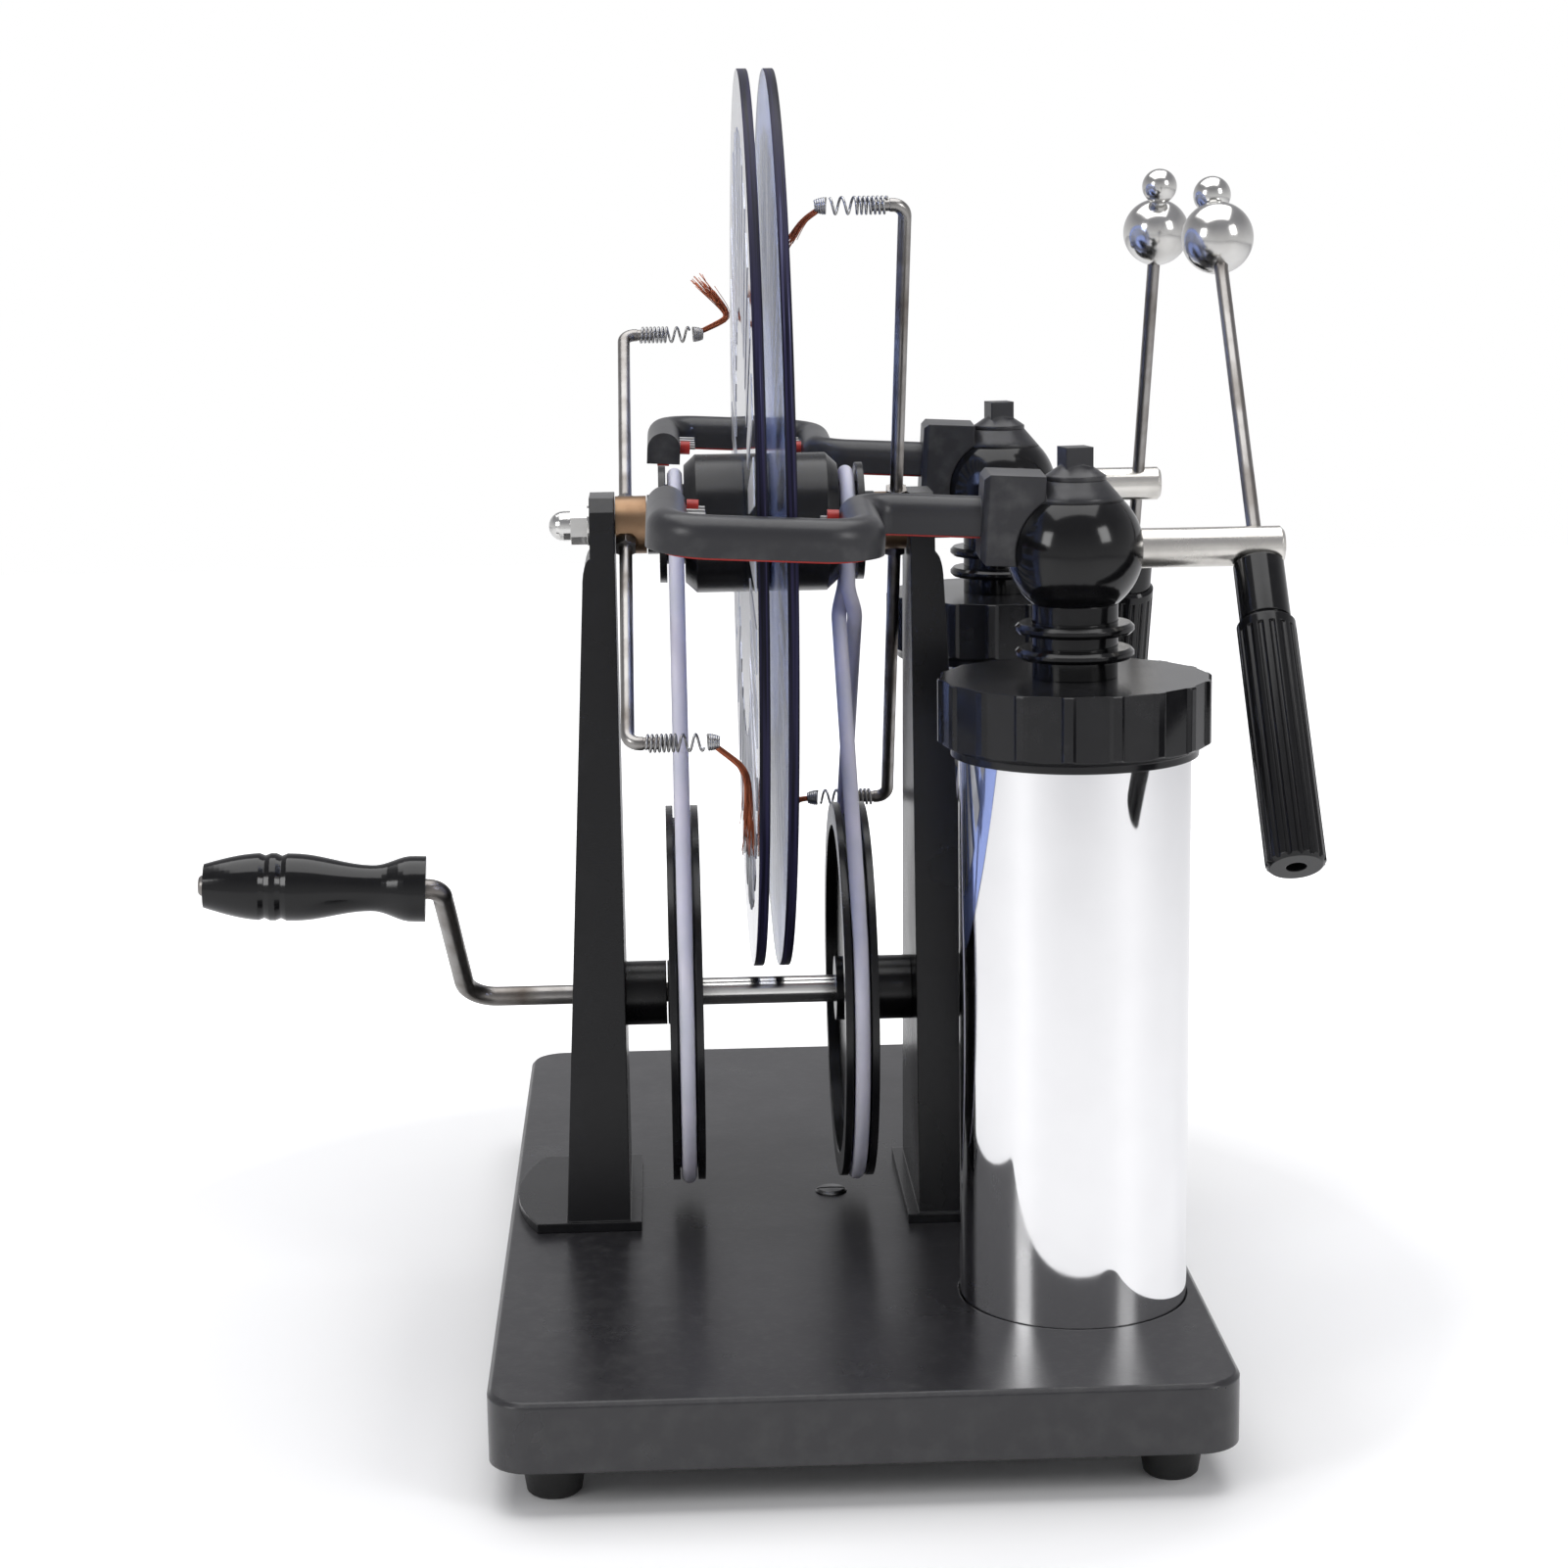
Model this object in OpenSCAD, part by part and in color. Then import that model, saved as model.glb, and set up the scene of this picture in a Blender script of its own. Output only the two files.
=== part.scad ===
// Electrostatic induction generator with two contra-rotating discs.
// X runs along the disc axle, from the crank side to the jar side.
// Y runs away from the viewer, Z runs up. The origin is on the ground, under the middle of the whole.

/* [Base] */
// Length of the base along the disc axle
base_x = 202; // [196:1:230]
// Width of the base across the disc axle
base_y = 341; // [334:1:380]
// Thickness of the base
base_t = 19.5; // [17:0.5:26]
// Radius of the base's corners
base_corner_r = 12; // [6:1:14]
// Chamfer round the top of the base
base_bevel = 1.2; // [0.5:0.1:2]
// Depth of the recesses in which the jars stand
jar_seat_depth = 1.5; // [1:0.1:3]
// Head diameter of the slotted screw in the middle of the base
centre_screw_d = 10; // [8:0.5:14]

/* [Feet] */
// Height of a rubber foot
foot_h = 13; // [10:0.5:20]
// Diameter of a foot where it meets the base
foot_top_d = 19; // [17:0.5:24]
// Diameter of a foot where it meets the table
foot_bottom_d = 15; // [12:0.5:18]
// Distance of the feet from the ends of the base along X
foot_inset_x = 17; // [14:1:30]
// Distance of the feet from the edges of the base along Y
foot_inset_y = 20; // [16:1:30]

/* [Discs] */
// Diameter of the acrylic discs
disc_d = 270; // [262:1:276]
// Thickness of a disc
disc_t = 3; // [2.5:0.1:3.4]
// Gap between the two discs
disc_gap = 4.8; // [4.6:0.1:5.4]
// Distance from the middle of the base back to the middle of that gap
disc_plane_back = 19; // [18:0.5:20]
// Height of the disc axle above the base
axle_above_base = 213.5; // [211:0.5:220]
// Number of foil sectors on a disc
sector_count = 32; // [16:2:36]
// Radius at which the sectors begin
sector_inner_r = 65; // [60:1:80]
// Radius at which the sectors end
sector_outer_r = 118; // [112:1:122]
// Width of a sector at its outer end
sector_w = 13; // [8:0.5:14]
// Thickness of the foil
sector_t = 0.2; // [0.1:0.05:0.25]

/* [Hubs] */
// Diameter of the disc hubs
hub_d = 42; // [38:1:46]
// Length of the wide part of a hub
hub_l = 15.2; // [14:0.1:15.6]
// Diameter of the pulley flange on a hub
hub_flange_d = 35.6; // [34:0.2:38]
// Thickness of that flange
hub_flange_t = 2.2; // [2:0.1:2.4]
// Diameter of the boss at the end of a hub
hub_boss_d = 18; // [15:0.5:20]
// Distance from the middle of the gap to the end of a hub
hub_reach = 34.5; // [34:0.1:34.7]
// Diameter of the steel disc axle
axle_d = 6; // [5:0.1:6.4]
// Outer diameter of the bronze bushes
bush_d = 10; // [9:0.2:11]
// Length of a bronze bush
bush_l = 9; // [6:0.5:10]

/* [Drive] */
// Diameter of a drive pulley
pulley_d = 117; // [113:0.5:119]
// Width of a drive pulley
pulley_w = 10; // [9.4:0.2:10.4]
// Distance of the belts from the middle of the gap
belt_plane = 26; // [25.8:0.1:26.2]
// Diameter of the round drive belts
belt_d = 4.6; // [4:0.1:4.8]
// Radius of a belt's middle line round a hub
belt_small_r = 14.7; // [14:0.1:15]
// Radius of a belt's middle line round a drive pulley
belt_big_r = 57.3; // [55:0.1:58]
// Distance from the disc axle down to the crankshaft
shaft_drop = 147; // [145:0.5:149]
// Diameter of the crankshaft
shaft_d = 6; // [5:0.1:6.4]

/* [Crank and handle] */
// Distance of the crank arm's foot from the middle of the gap
crank_arm_x = 94; // [90:0.5:100]
// Distance of the handle's pin from the crankshaft
crank_throw = 61.6; // [50:0.1:70]
// How much further out the crank arm ends than it begins
arm_flare = 4.1; // [0:0.1:8]
// Lean of the crank arm from upright, towards the viewer
crank_lean = 44; // [0:1:60]
// Outward lean of the handle away from the crankshaft
handle_tilt = 4; // [0:0.5:6]
// Length of the handle
handle_l = 65; // [55:1:75]
// Greatest diameter of the handle
handle_d = 20; // [18:0.5:24]
// Diameter of the handle's waist
handle_waist_d = 13.7; // [12:0.1:15]
// Diameter of the handle's inner end
handle_flare_d = 19.6; // [18:0.1:23]
// Diameter of the handle's free end
handle_end_d = 13; // [12:0.1:16]

/* [Uprights] */
// Distance from the middle of the gap to the inside of an upright
upright_x = 44.5; // [44.3:0.1:45]
// Thickness of an upright at the axle
upright_top_t = 7.5; // [6:0.1:9]
// Thickness of an upright just under its shoulder
upright_neck_t = 10; // [9:0.1:11]
// Thickness of an upright at its foot
upright_foot_t = 19.5; // [17:0.1:22]
// Height of the top of an upright above the disc axle
upright_rise = 9.2; // [7:0.1:12]
// Half width of an upright at its top
upright_top_y = 14; // [11:0.5:16]
// Half width of an upright at its foot
upright_foot_y = 33; // [28:0.5:38]
// Thickness of the flange at the foot of an upright
flange_t = 3; // [2:0.1:5]
// How far the flange bows out past the upright
flange_out = 16; // [12:0.5:19]
// Diameter of the crankshaft boss on an upright
shaft_boss_d = 20; // [16:0.5:24]

/* [Neutralisers] */
// Diameter of the brass collar that carries a neutraliser
collar_d = 17.5; // [16:0.1:20]
// Length of that collar
collar_l = 9.4; // [8.8:0.1:9.6]
// Distance of the rods from the middle of the gap
rod_plane = 41.2; // [40.6:0.1:41.4]
// Diameter of a neutraliser rod
rod_d = 3.9; // [3.4:0.1:4.2]
// Reach of the crank side neutraliser from the axle
crank_side_reach = 96; // [90:0.5:104]
// Angle of the crank side neutraliser from level
crank_side_angle = 34; // [28:1:50]
// Reach of the jar side neutraliser from the axle
jar_side_reach = 105; // [98:0.5:106]
// Angle of the jar side neutraliser from level
jar_side_angle = 64.5; // [45:0.5:65]
// Wire diameter of the brush springs
spring_wire_d = 0.8; // [0.6:0.05:0.9]
// Outer diameter of the brush springs
spring_d = 5.5; // [5.2:0.1:5.8]
// Close curls in a brush spring
spring_close_curls = 7; // [5:1:8]
// Open curls in a brush spring
spring_open_curls = 2; // [1:1:3]
// Strands in a brush
strand_count = 75; // [75:1:75]
// Thickness of a brush strand
strand_d = 0.26; // [0.2:0.02:0.3]

/* [Jars] */
// Distance of the jars from the middle plane of the machine
jar_y = 95; // [93:0.5:97]
// Distance of the jars from the middle of the disc gap
jar_x = 83.5; // [82.5:0.5:84.5]
// Outer diameter of a jar's metal coating
jar_d = 65; // [60:0.5:67]
// Diameter of a jar cap over its ribs
cap_d = 76.5; // [72:0.5:77]
// Depth of the ribs below the cap's flat rim
cap_rib_depth = 1; // [0.6:0.1:1.6]
// Number of ribs round a cap
cap_ribs = 18; // [12:1:24]
// Height of a jar cap
cap_h = 21.5; // [19:0.5:24]
// Distance from the disc axle down to the top of the caps
cap_drop = 34.5; // [34:0.1:36]

/* [Terminals] */
// Diameter of the terminal spheres
sphere_d = 38; // [35:0.5:40]
// Height of the sphere's centre above the disc axle
sphere_rise = 0.8; // [0:0.1:2]
// Diameter of the neck below a sphere
neck_d = 24; // [20:0.5:26]
// Diameter of the fins on the neck
fin_d = 33; // [29:0.5:36]
// Thickness of a fin
fin_t = 3; // [2:0.1:3.6]
// Diameter of the knob's round skirt
knob_d = 17; // [15:0.5:18]
// Width of the square stud on the knob
stud_w = 7.8; // [7:0.1:9]
// Height of that stud
stud_h = 4.8; // [4:0.1:7]

/* [Collectors] */
// Width of the collector bars
bar_w = 11; // [9:0.5:11.5]
// Height of the collector bars
bar_h = 10.4; // [9:0.1:10.6]
// Distance of the outer bars from the middle plane of the machine
bar_y = 145; // [143:0.5:152]
// Distance of the crank side leg from the middle of the disc gap
crank_leg_x = 29.5; // [28:0.5:32]
// Distance of the jar side leg from the middle of the disc gap
jar_leg_x = 22.5; // [21.5:0.5:24]
// Tilt of the collectors about both level axes
collector_tilt = 3; // [1:0.5:3.5]
// Width of the clamp block across the arm
block_y = 16; // [14:0.5:18]
// Needles on each leg
needles = 5; // [3:1:7]

/* [Discharge arms] */
// Diameter of the arm tubes
tube_d = 11; // [10:0.1:11.6]
// Length of an arm tube
tube_l = 50.5; // [50:0.5:54]
// How far the near arm tube stands out past the far one
tube_offset = 3.5; // [0:0.5:5]
// Diameter of the discharge rods
spark_rod_d = 4; // [3.6:0.1:4.4]
// Lean of the near rod from upright
near_lean = 38; // [20:1:45]
// Lean of the far rod from upright
far_lean = 22.7; // [10:0.1:30]
// Distance of the near ball from its tube
near_ball_reach = 105.4; // [100:0.2:108]
// How far the far rod is drawn down
far_rod_drop = 14.6; // [5:0.2:20]
// Diameter of the large spark balls
ball_d = 21; // [18:0.5:24]
// Diameter of the small spark balls
small_ball_d = 11; // [9:0.5:13]
// Diameter of the grip on a discharge rod
grip_d = 16.1; // [15:0.1:18]
// Length of the fluted part of the grip
grip_l = 74.5; // [60:0.5:80]
// Length of the smooth sleeve on the grip
sleeve_l = 18.2; // [12:0.1:22]
// Number of flutes round the grip
flutes = 16; // [10:1:20]
// Diameter of the hole in the free end of the grip
socket_d = 5.5; // [4:0.1:6]
// Depth of that hole
socket_depth = 18; // [10:1:25]

/* [Hidden] */
// Radial gap of a shaft that turns or slides
running_gap = 0.05;
// Radial gap of a piece that is fixed in its seat
seat_gap = 0.03;
// How far the bent part of the crankshaft reaches into its straight parts
bend_overlap = 3;
// Gap between pieces that pass each other
pass_gap = 0.3;
base_top = foot_h + base_t;
axle_z = base_top + axle_above_base;
base_mid_x = 31.3;
disc_plane_x = base_mid_x - disc_plane_back;
shaft_z = axle_z - shaft_drop;
disc_out = disc_gap / 2 + disc_t;
hub_face = disc_out + hub_l;
groove_half = belt_d / 2 + 0.5;
flange_in = belt_plane + groove_half;
plate_t = 1.5;
plate_d = hub_d;
small_root_r = belt_small_r - belt_d / 2 - pass_gap;
big_root_r = belt_big_r - belt_d / 2 - pass_gap;
collar_in = hub_reach + pass_gap;
shaft_collar_reach = belt_plane + pulley_w / 2 + 0.5;
upright_out = upright_x + upright_foot_t;
upright_bottom = -axle_above_base;
shoulder_z = -17.5;
jar_seat_gap = 0.4;
jar_wall = 1;
liner_wall = 2.5;
liner_gap = 0.1;
foil_t = 0.2;
foil_h = 118;
contact_d = 5;
cap_wall = 3;
cap_ring_wall = 2;
cap_skirt_h = 3;
cap_ring_d = jar_d + 2 * (liner_gap + cap_ring_wall);
cap_top_z = axle_z - cap_drop;
jar_frame_x = disc_plane_x + jar_x;
sphere_z = axle_z + sphere_rise;
cone_rim_r = 13.5;
cone_top_r = 8.5;
cone_bottom = 13;
cone_top = 20;
knob_bottom = cone_top + seat_gap;
sphere_flat = 17.4;
tube_bore_start = contact_d / 2 + 1;
jar_bottom = base_top - jar_seat_depth;
foil_r = jar_d / 2 - jar_wall - liner_gap - liner_wall - 0.05;
jar_h = cap_top_z - cap_wall - pass_gap - jar_bottom;
cap_rib_turn = 3.4;
cap_flank_turn = 1.5;
neck_fins = [6.8, 13.7];
block_x = 56.7;
block_h = 24.9;
block_z = -0.35;
block_clear = 1.5;
block_bevel = 1.5;
bar_rise = 8.7;
bar_bend_r = 12;
arm_bend_r = 10;
strip_w = 4;
strip_t = 1.2;
strip_proud = 1;
strip_end = 3;
needle_d = 1;
needle_out = 5;
needle_start = 4;
needle_pitch = 6;
bead_l = 3.2;
bead_d = 4.4;
spring_pitch = spring_wire_d + 0.5;
spring_open_pitch = 3.6;
spring_start = 36.8;
spigot_d = spring_d - 2 * spring_wire_d - 0.4;
spring_end = spring_start - 2 * spring_wire_d - spring_close_curls * spring_pitch
    - spring_open_curls * spring_open_pitch;
ferrule_l = 3;
screw_d = 4;
screw_head_d = 7.5;
screw_head_t = 2.6;
foot_x = base_x / 2 - foot_inset_x;
foot_y = base_y / 2 - foot_inset_y;
upright_screw_y = 19;
foot_shoulder_z = 6;
shoulder_h = 9;
flange_in_reach = 3.5;
flange_bow_r = 84.6;
shaft_bush_end = shaft_collar_reach + 20;
shaft_end = shaft_collar_reach + 22;
shaft_blind_l = 24;
shaft_through_l = 60;
spacer_d = 8.5;
pulley_hub_d = 20;
web_t = 3;
rim_in_r = pulley_d / 2 - 7;
grub_x = belt_plane + web_t / 2 + 1.8;
grub_d = 3;
crank_bend_r = 10;
pin_bend_r = 4.5;
handle_clear = 0.4;
pin_out = 1.5;
rod_bend_r = 3.6;
collar_flat_r = collar_d / 2 - 0.7;
rod_nut_flats = 6;
spigot_l = 5;
brush_r = 2.1;
ferrule_d = 5;
rod_inset = 7.5;
tube_wall = 1.2;
sleeve_d = 14;
flute_d = 1.8;
washer_t = 0.8;
washer_d = 12;
nut_flats = 10;
nut_h = 5;
nut_dome_r = 4.5;
nut_dome_in = 7.2;
axle_out = 9.5;
axle_end = upright_x + upright_top_t + axle_out;
cross_shift = 2.6;
crossing_half = 14;
curve = 96;

// Frames and bodies of revolution
module at_axle(side) {
    translate([disc_plane_x, 0, axle_z])
        mirror([side < 0 ? 1 : 0, 0, 0])
            children();
}

module at_shaft(side) {
    translate([disc_plane_x, 0, shaft_z])
        mirror([side < 0 ? 1 : 0, 0, 0])
            children();
}

module at_jar(side) {
    translate([jar_frame_x, side * jar_y, 0])
        children();
}

module both_jars() {
    for (side = [-1, 1])
        at_jar(side)
            children();
}

module x_rod(d, from, to) {
    translate([from, 0, 0])
        rotate([0, 90, 0])
            cylinder(d = d, h = to - from, $fn = curve);
}

module x_turned(points) {
    rotate([0, 90, 0])
        rotate_extrude($fn = curve)
            polygon(points);
}

module z_turned(points) {
    rotate_extrude($fn = curve)
        polygon(points);
}

// A round rod through a list of corners, each rounded to bend_r
function unit(v) = v / norm(v);
function turn_angle(u, v) = acos(max(-1, min(1, u * v)));
module straight(d, from, to) {
    u = unit(to - from);
    translate(from)
        rotate([0, acos(u[2]), atan2(u[1], u[0])])
            cylinder(d = d, h = norm(to - from), $fn = 48);
}

module elbow(d, corner, u, v, bend_r) {
    angle = turn_angle(u, v);
    side = unit(v - (u * v) * u);
    centre = corner - u * bend_r * tan(angle / 2) + side * bend_r;
    up = cross(-side, u);
    multmatrix([
        [-side[0], u[0], up[0], centre[0]],
        [-side[1], u[1], up[1], centre[1]],
        [-side[2], u[2], up[2], centre[2]],
        [0, 0, 0, 1]
    ])
        rotate_extrude(angle = angle, $fn = curve)
            translate([bend_r, 0])
                circle(d = d, $fn = 48);
}

module bent_rod(d, corners, bend_r) {
    last = len(corners) - 1;
    directions = [for (i = [0:last - 1]) unit(corners[i + 1] - corners[i])];
    trims = [for (i = [0:last]) i == 0 || i == last ? 0
        : bend_r * tan(turn_angle(directions[i - 1], directions[i]) / 2)];
    for (i = [0:last - 1])
        straight(d, corners[i] + directions[i] * trims[i],
            corners[i + 1] - directions[i] * trims[i + 1]);
    for (i = [1:last - 1])
        elbow(d, corners[i], directions[i - 1], directions[i], bend_r);
}

// The middle line of a bend at a corner, from direction u to direction v
function bend_points(corner, u, v, bend_r, steps) =
    let (angle = turn_angle(u, v), side = unit(v - (u * v) * u),
        centre = corner - u * bend_r * tan(angle / 2) + side * bend_r)
    [for (i = [0:steps]) let (a = angle * i / steps)
        centre - bend_r * cos(a) * side + bend_r * sin(a) * u];

// A tube with flat sides along a list of points, closed into a loop or capped
function tangent(p, i, loop) =
    loop ? unit(p[(i + 1) % len(p)] - p[(i + len(p) - 1) % len(p)])
    : unit(p[min(i + 1, len(p) - 1)] - p[max(i - 1, 0)]);
function carried(v, t) = unit(v - (v * t) * t);
function frames(p, loop, i = 0, v = [1, 0, 0], found = []) =
    i == len(p) ? found
    : let (n = carried(v, tangent(p, i, loop))) frames(p, loop, i + 1, n, concat(found, [n]));
function ring(centre, t, n, d, sides) =
    [for (k = [0:sides - 1]) centre + d / 2 * (cos(360 * k / sides) * n
        + sin(360 * k / sides) * cross(t, n))];
module swept_tube(p, d, sides, loop = false) {
    normals = frames(p, loop, 0, loop ? [1, 0, 0] : abs(tangent(p, 0, false)[0]) > 0.8
        ? [0, 1, 0] : [1, 0, 0]);
    points = [for (i = [0:len(p) - 1])
        each ring(p[i], tangent(p, i, loop), normals[i], d, sides)];
    spans = loop ? len(p) : len(p) - 1;
    walls = [for (i = [0:spans - 1], k = [0:sides - 1])
        let (a = i * sides + k, b = i * sides + (k + 1) % sides,
            c = ((i + 1) % len(p)) * sides + k,
            e = ((i + 1) % len(p)) * sides + (k + 1) % sides)
        each [[a, c, b], [b, c, e]]];
    foot = [for (k = [1:sides - 2]) [0, k, k + 1]];
    top = (len(p) - 1) * sides;
    head = [for (k = [1:sides - 2]) [top, top + k + 1, top + k]];
    polyhedron(points, loop ? walls : concat(walls, foot, head));
}

// The black lacquered base, with chamfered edges and round corners
module base_board() {
    color([0.14, 0.14, 0.15])
    difference() {
        translate([base_mid_x, 0, 0]) {
            base_long(base_x, base_y - 2 * base_corner_r);
            rotate(90)
                base_long(base_y, base_x - 2 * base_corner_r);
            for (x = [-1, 1], y = [-1, 1])
                translate([x * (base_x / 2 - base_corner_r), y * (base_y / 2 - base_corner_r), 0])
                    z_turned([[0, foot_h], [base_corner_r, foot_h],
                        [base_corner_r, base_top - base_bevel],
                        [base_corner_r - base_bevel, base_top], [0, base_top]]);
        }
        both_jars()
            translate([0, 0, base_top - jar_seat_depth])
                cylinder(d = jar_d + 2 * jar_seat_gap, h = jar_seat_depth + 1, $fn = curve);
        both_jars()
            screw_hole_through();
        for (side = [-1, 1], y = [-1, 1])
            at_upright_screw(side, y)
                screw_hole_through();
        for (x = [-1, 1], y = [-1, 1])
            translate([base_mid_x + x * foot_x, y * foot_y, foot_h - 1])
                cylinder(d = screw_d + 2 * seat_gap, h = 13, $fn = 48);
        translate([base_mid_x, 0, base_top - 16])
            cylinder(d = screw_d + 2 * seat_gap, h = 17, $fn = 48);
    }
}

module base_long(x, y) {
    rotate([90, 0, 0])
        linear_extrude(y, center = true)
            polygon([[-x / 2, foot_h], [x / 2, foot_h], [x / 2, base_top - base_bevel],
                [x / 2 - base_bevel, base_top], [base_bevel - x / 2, base_top],
                [-x / 2, base_top - base_bevel]]);
}

module screw_hole_through() {
    translate([0, 0, foot_h - 1])
        cylinder(d = screw_d + 2 * seat_gap, h = base_t + 2, $fn = 48);
    translate([0, 0, foot_h - 1])
        cylinder(d = screw_head_d + 0.6, h = screw_head_t + 1.4, $fn = 48);
}

module at_upright_screw(side, y) {
    translate([disc_plane_x + side * (upright_x + upright_foot_t / 2), y * upright_screw_y, 0])
        children();
}

// Four tapered rubber feet, each with a recess for its screw
module rubber_feet() {
    color([0.07, 0.07, 0.07])
    for (x = [-1, 1], y = [-1, 1])
        translate([base_mid_x + x * foot_x, y * foot_y, 0])
            z_turned([[4.2, 0], [foot_bottom_d / 2 - 0.8, 0], [foot_bottom_d / 2, 0.8],
                [foot_top_d / 2, foot_h], [screw_d / 2 + seat_gap, foot_h],
                [screw_d / 2 + seat_gap, foot_shoulder_z], [4.2, foot_shoulder_z]]);
}

// The screws that hold the feet, the uprights and the jars from below
module base_underside_screws() {
    color([0.75, 0.75, 0.77]) {
        for (x = [-1, 1], y = [-1, 1])
            translate([base_mid_x + x * foot_x, y * foot_y, foot_shoulder_z - screw_head_t])
                pan_screw(20);
        for (side = [-1, 1], y = [-1, 1])
            at_upright_screw(side, y)
                translate([0, 0, foot_h + 0.4])
                    pan_screw(base_t + 10);
        both_jars()
            translate([0, 0, foot_h + 0.4])
                pan_screw(base_t + 4);
    }
}

module pan_screw(length) {
    z_turned([[0, 0], [screw_head_d / 2 - 0.8, 0], [screw_head_d / 2, 0.8],
        [screw_head_d / 2, screw_head_t], [screw_d / 2, screw_head_t],
        [screw_d / 2, length], [0, length]]);
}

// The slotted screw in the middle of the base
module centre_screw() {
    color([0.8, 0.8, 0.82])
    translate([base_mid_x, 0, base_top])
        difference() {
            z_turned([[0, -14], [screw_d / 2, -14], [screw_d / 2, 0], [centre_screw_d / 2, 0],
                [centre_screw_d / 2, 0.3], [centre_screw_d / 2 - 1, 1], [0, 1.2]]);
            translate([-centre_screw_d, -0.6, 0.5])
                cube([2 * centre_screw_d, 1.2, 3]);
        }
}

// A tapered upright with its shoulder, its bowed foot flange and its crankshaft boss
module upright(shaft_hole_l) {
    neck_x = upright_x + upright_neck_t;
    top_x = upright_x + upright_top_t;
    shoulder = [for (a = [0:15:90]) [top_x + (neck_x - top_x) * sin(a),
        shoulder_z + shoulder_h * cos(a)]];
    side_profile = concat([[upright_x, upright_bottom], [upright_x, upright_rise],
        [top_x, upright_rise]], shoulder, [[upright_out, upright_bottom]]);
    color([0.09, 0.09, 0.1])
    difference() {
        union() {
            intersection() {
                rotate([90, 0, 0])
                    linear_extrude(4 * upright_foot_y, center = true)
                        polygon(side_profile);
                translate([upright_x - 1, 0, 0])
                    rotate([90, 0, 90])
                        linear_extrude(upright_foot_t + 2)
                            polygon([[-upright_foot_y, upright_bottom], [upright_foot_y, upright_bottom],
                                [upright_top_y, upright_rise - 4], [upright_top_y - 4, upright_rise],
                                [4 - upright_top_y, upright_rise], [-upright_top_y, upright_rise - 4]]);
            }
            translate([0, 0, upright_bottom])
                linear_extrude(flange_t)
                    intersection() {
                        translate([upright_x - flange_in_reach, -upright_foot_y - 1])
                            square([upright_foot_t + flange_in_reach + flange_out + 1,
                                2 * upright_foot_y + 2]);
                        translate([upright_out + flange_out - flange_bow_r, 0])
                            circle(flange_bow_r, $fn = 180);
                    }
            translate([0, 0, -shaft_drop])
                x_rod(shaft_boss_d, shaft_collar_reach + pass_gap, upright_x + 1);
        }
        x_rod(axle_d + 2 * seat_gap, upright_x - 1, upright_out);
        translate([0, 0, -shaft_drop]) {
            x_rod(bush_d + 2 * seat_gap, shaft_collar_reach, shaft_bush_end);
            x_rod(shaft_d + 0.8, shaft_collar_reach, shaft_collar_reach + shaft_hole_l);
        }
        for (y = [-1, 1])
            translate([upright_x + upright_foot_t / 2, y * upright_screw_y, upright_bottom - 1])
                cylinder(d = screw_d + 2 * seat_gap, h = 15, $fn = 48);
    }
}

module crank_side_upright() {
    at_axle(-1)
        upright(shaft_through_l);
}

module jar_side_upright() {
    at_axle(1)
        upright(shaft_blind_l);
}

// The fixed steel axle on which both hubs and both collars turn
module disc_axle() {
    color([0.78, 0.78, 0.8])
    at_axle(1)
        x_rod(axle_d, -axle_end, axle_end);
}

// Domed nuts at both ends of the axle, each on its washer
module axle_nuts() {
    nut_in = upright_x + upright_top_t + washer_t;
    color([0.85, 0.85, 0.87])
    for (side = [-1, 1])
        at_axle(side) {
            difference() {
                union() {
                    translate([nut_in, 0, 0])
                        rotate([0, 90, 0])
                            cylinder(d = nut_flats / cos(30), h = nut_h, $fn = 6);
                    x_turned(concat([[0, nut_in + nut_h - 0.5], [nut_dome_r, nut_in + nut_h - 0.5]],
                        [for (a = [0:15:90])
                            [nut_dome_r * cos(a), nut_in + nut_dome_in + nut_dome_r * sin(a)]]));
                }
                x_rod(axle_d + 2 * seat_gap, nut_in - 1, axle_end + 0.2);
            }
            difference() {
                x_rod(washer_d, nut_in - washer_t, nut_in);
                x_rod(axle_d + 2 * seat_gap, nut_in - 2, nut_in + 1);
            }
        }
}

// The spacer that keeps the two discs apart on the axle
module axle_spacer() {
    half = disc_gap / 2 - plate_t - pass_gap;
    color([0.85, 0.85, 0.87])
    at_axle(1)
        difference() {
            x_rod(washer_d, -half, half);
            x_rod(axle_d + 2 * seat_gap, -half - 1, half + 1);
        }
}

// Bronze bushes for the crankshaft, pressed into both uprights
module shaft_bushes() {
    color([0.72, 0.5, 0.25])
    for (side = [-1, 1])
        at_shaft(side)
            difference() {
                x_rod(bush_d, shaft_collar_reach + pass_gap, shaft_bush_end);
                x_rod(shaft_d + 2 * running_gap, shaft_collar_reach, shaft_bush_end + 1);
            }
}

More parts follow.
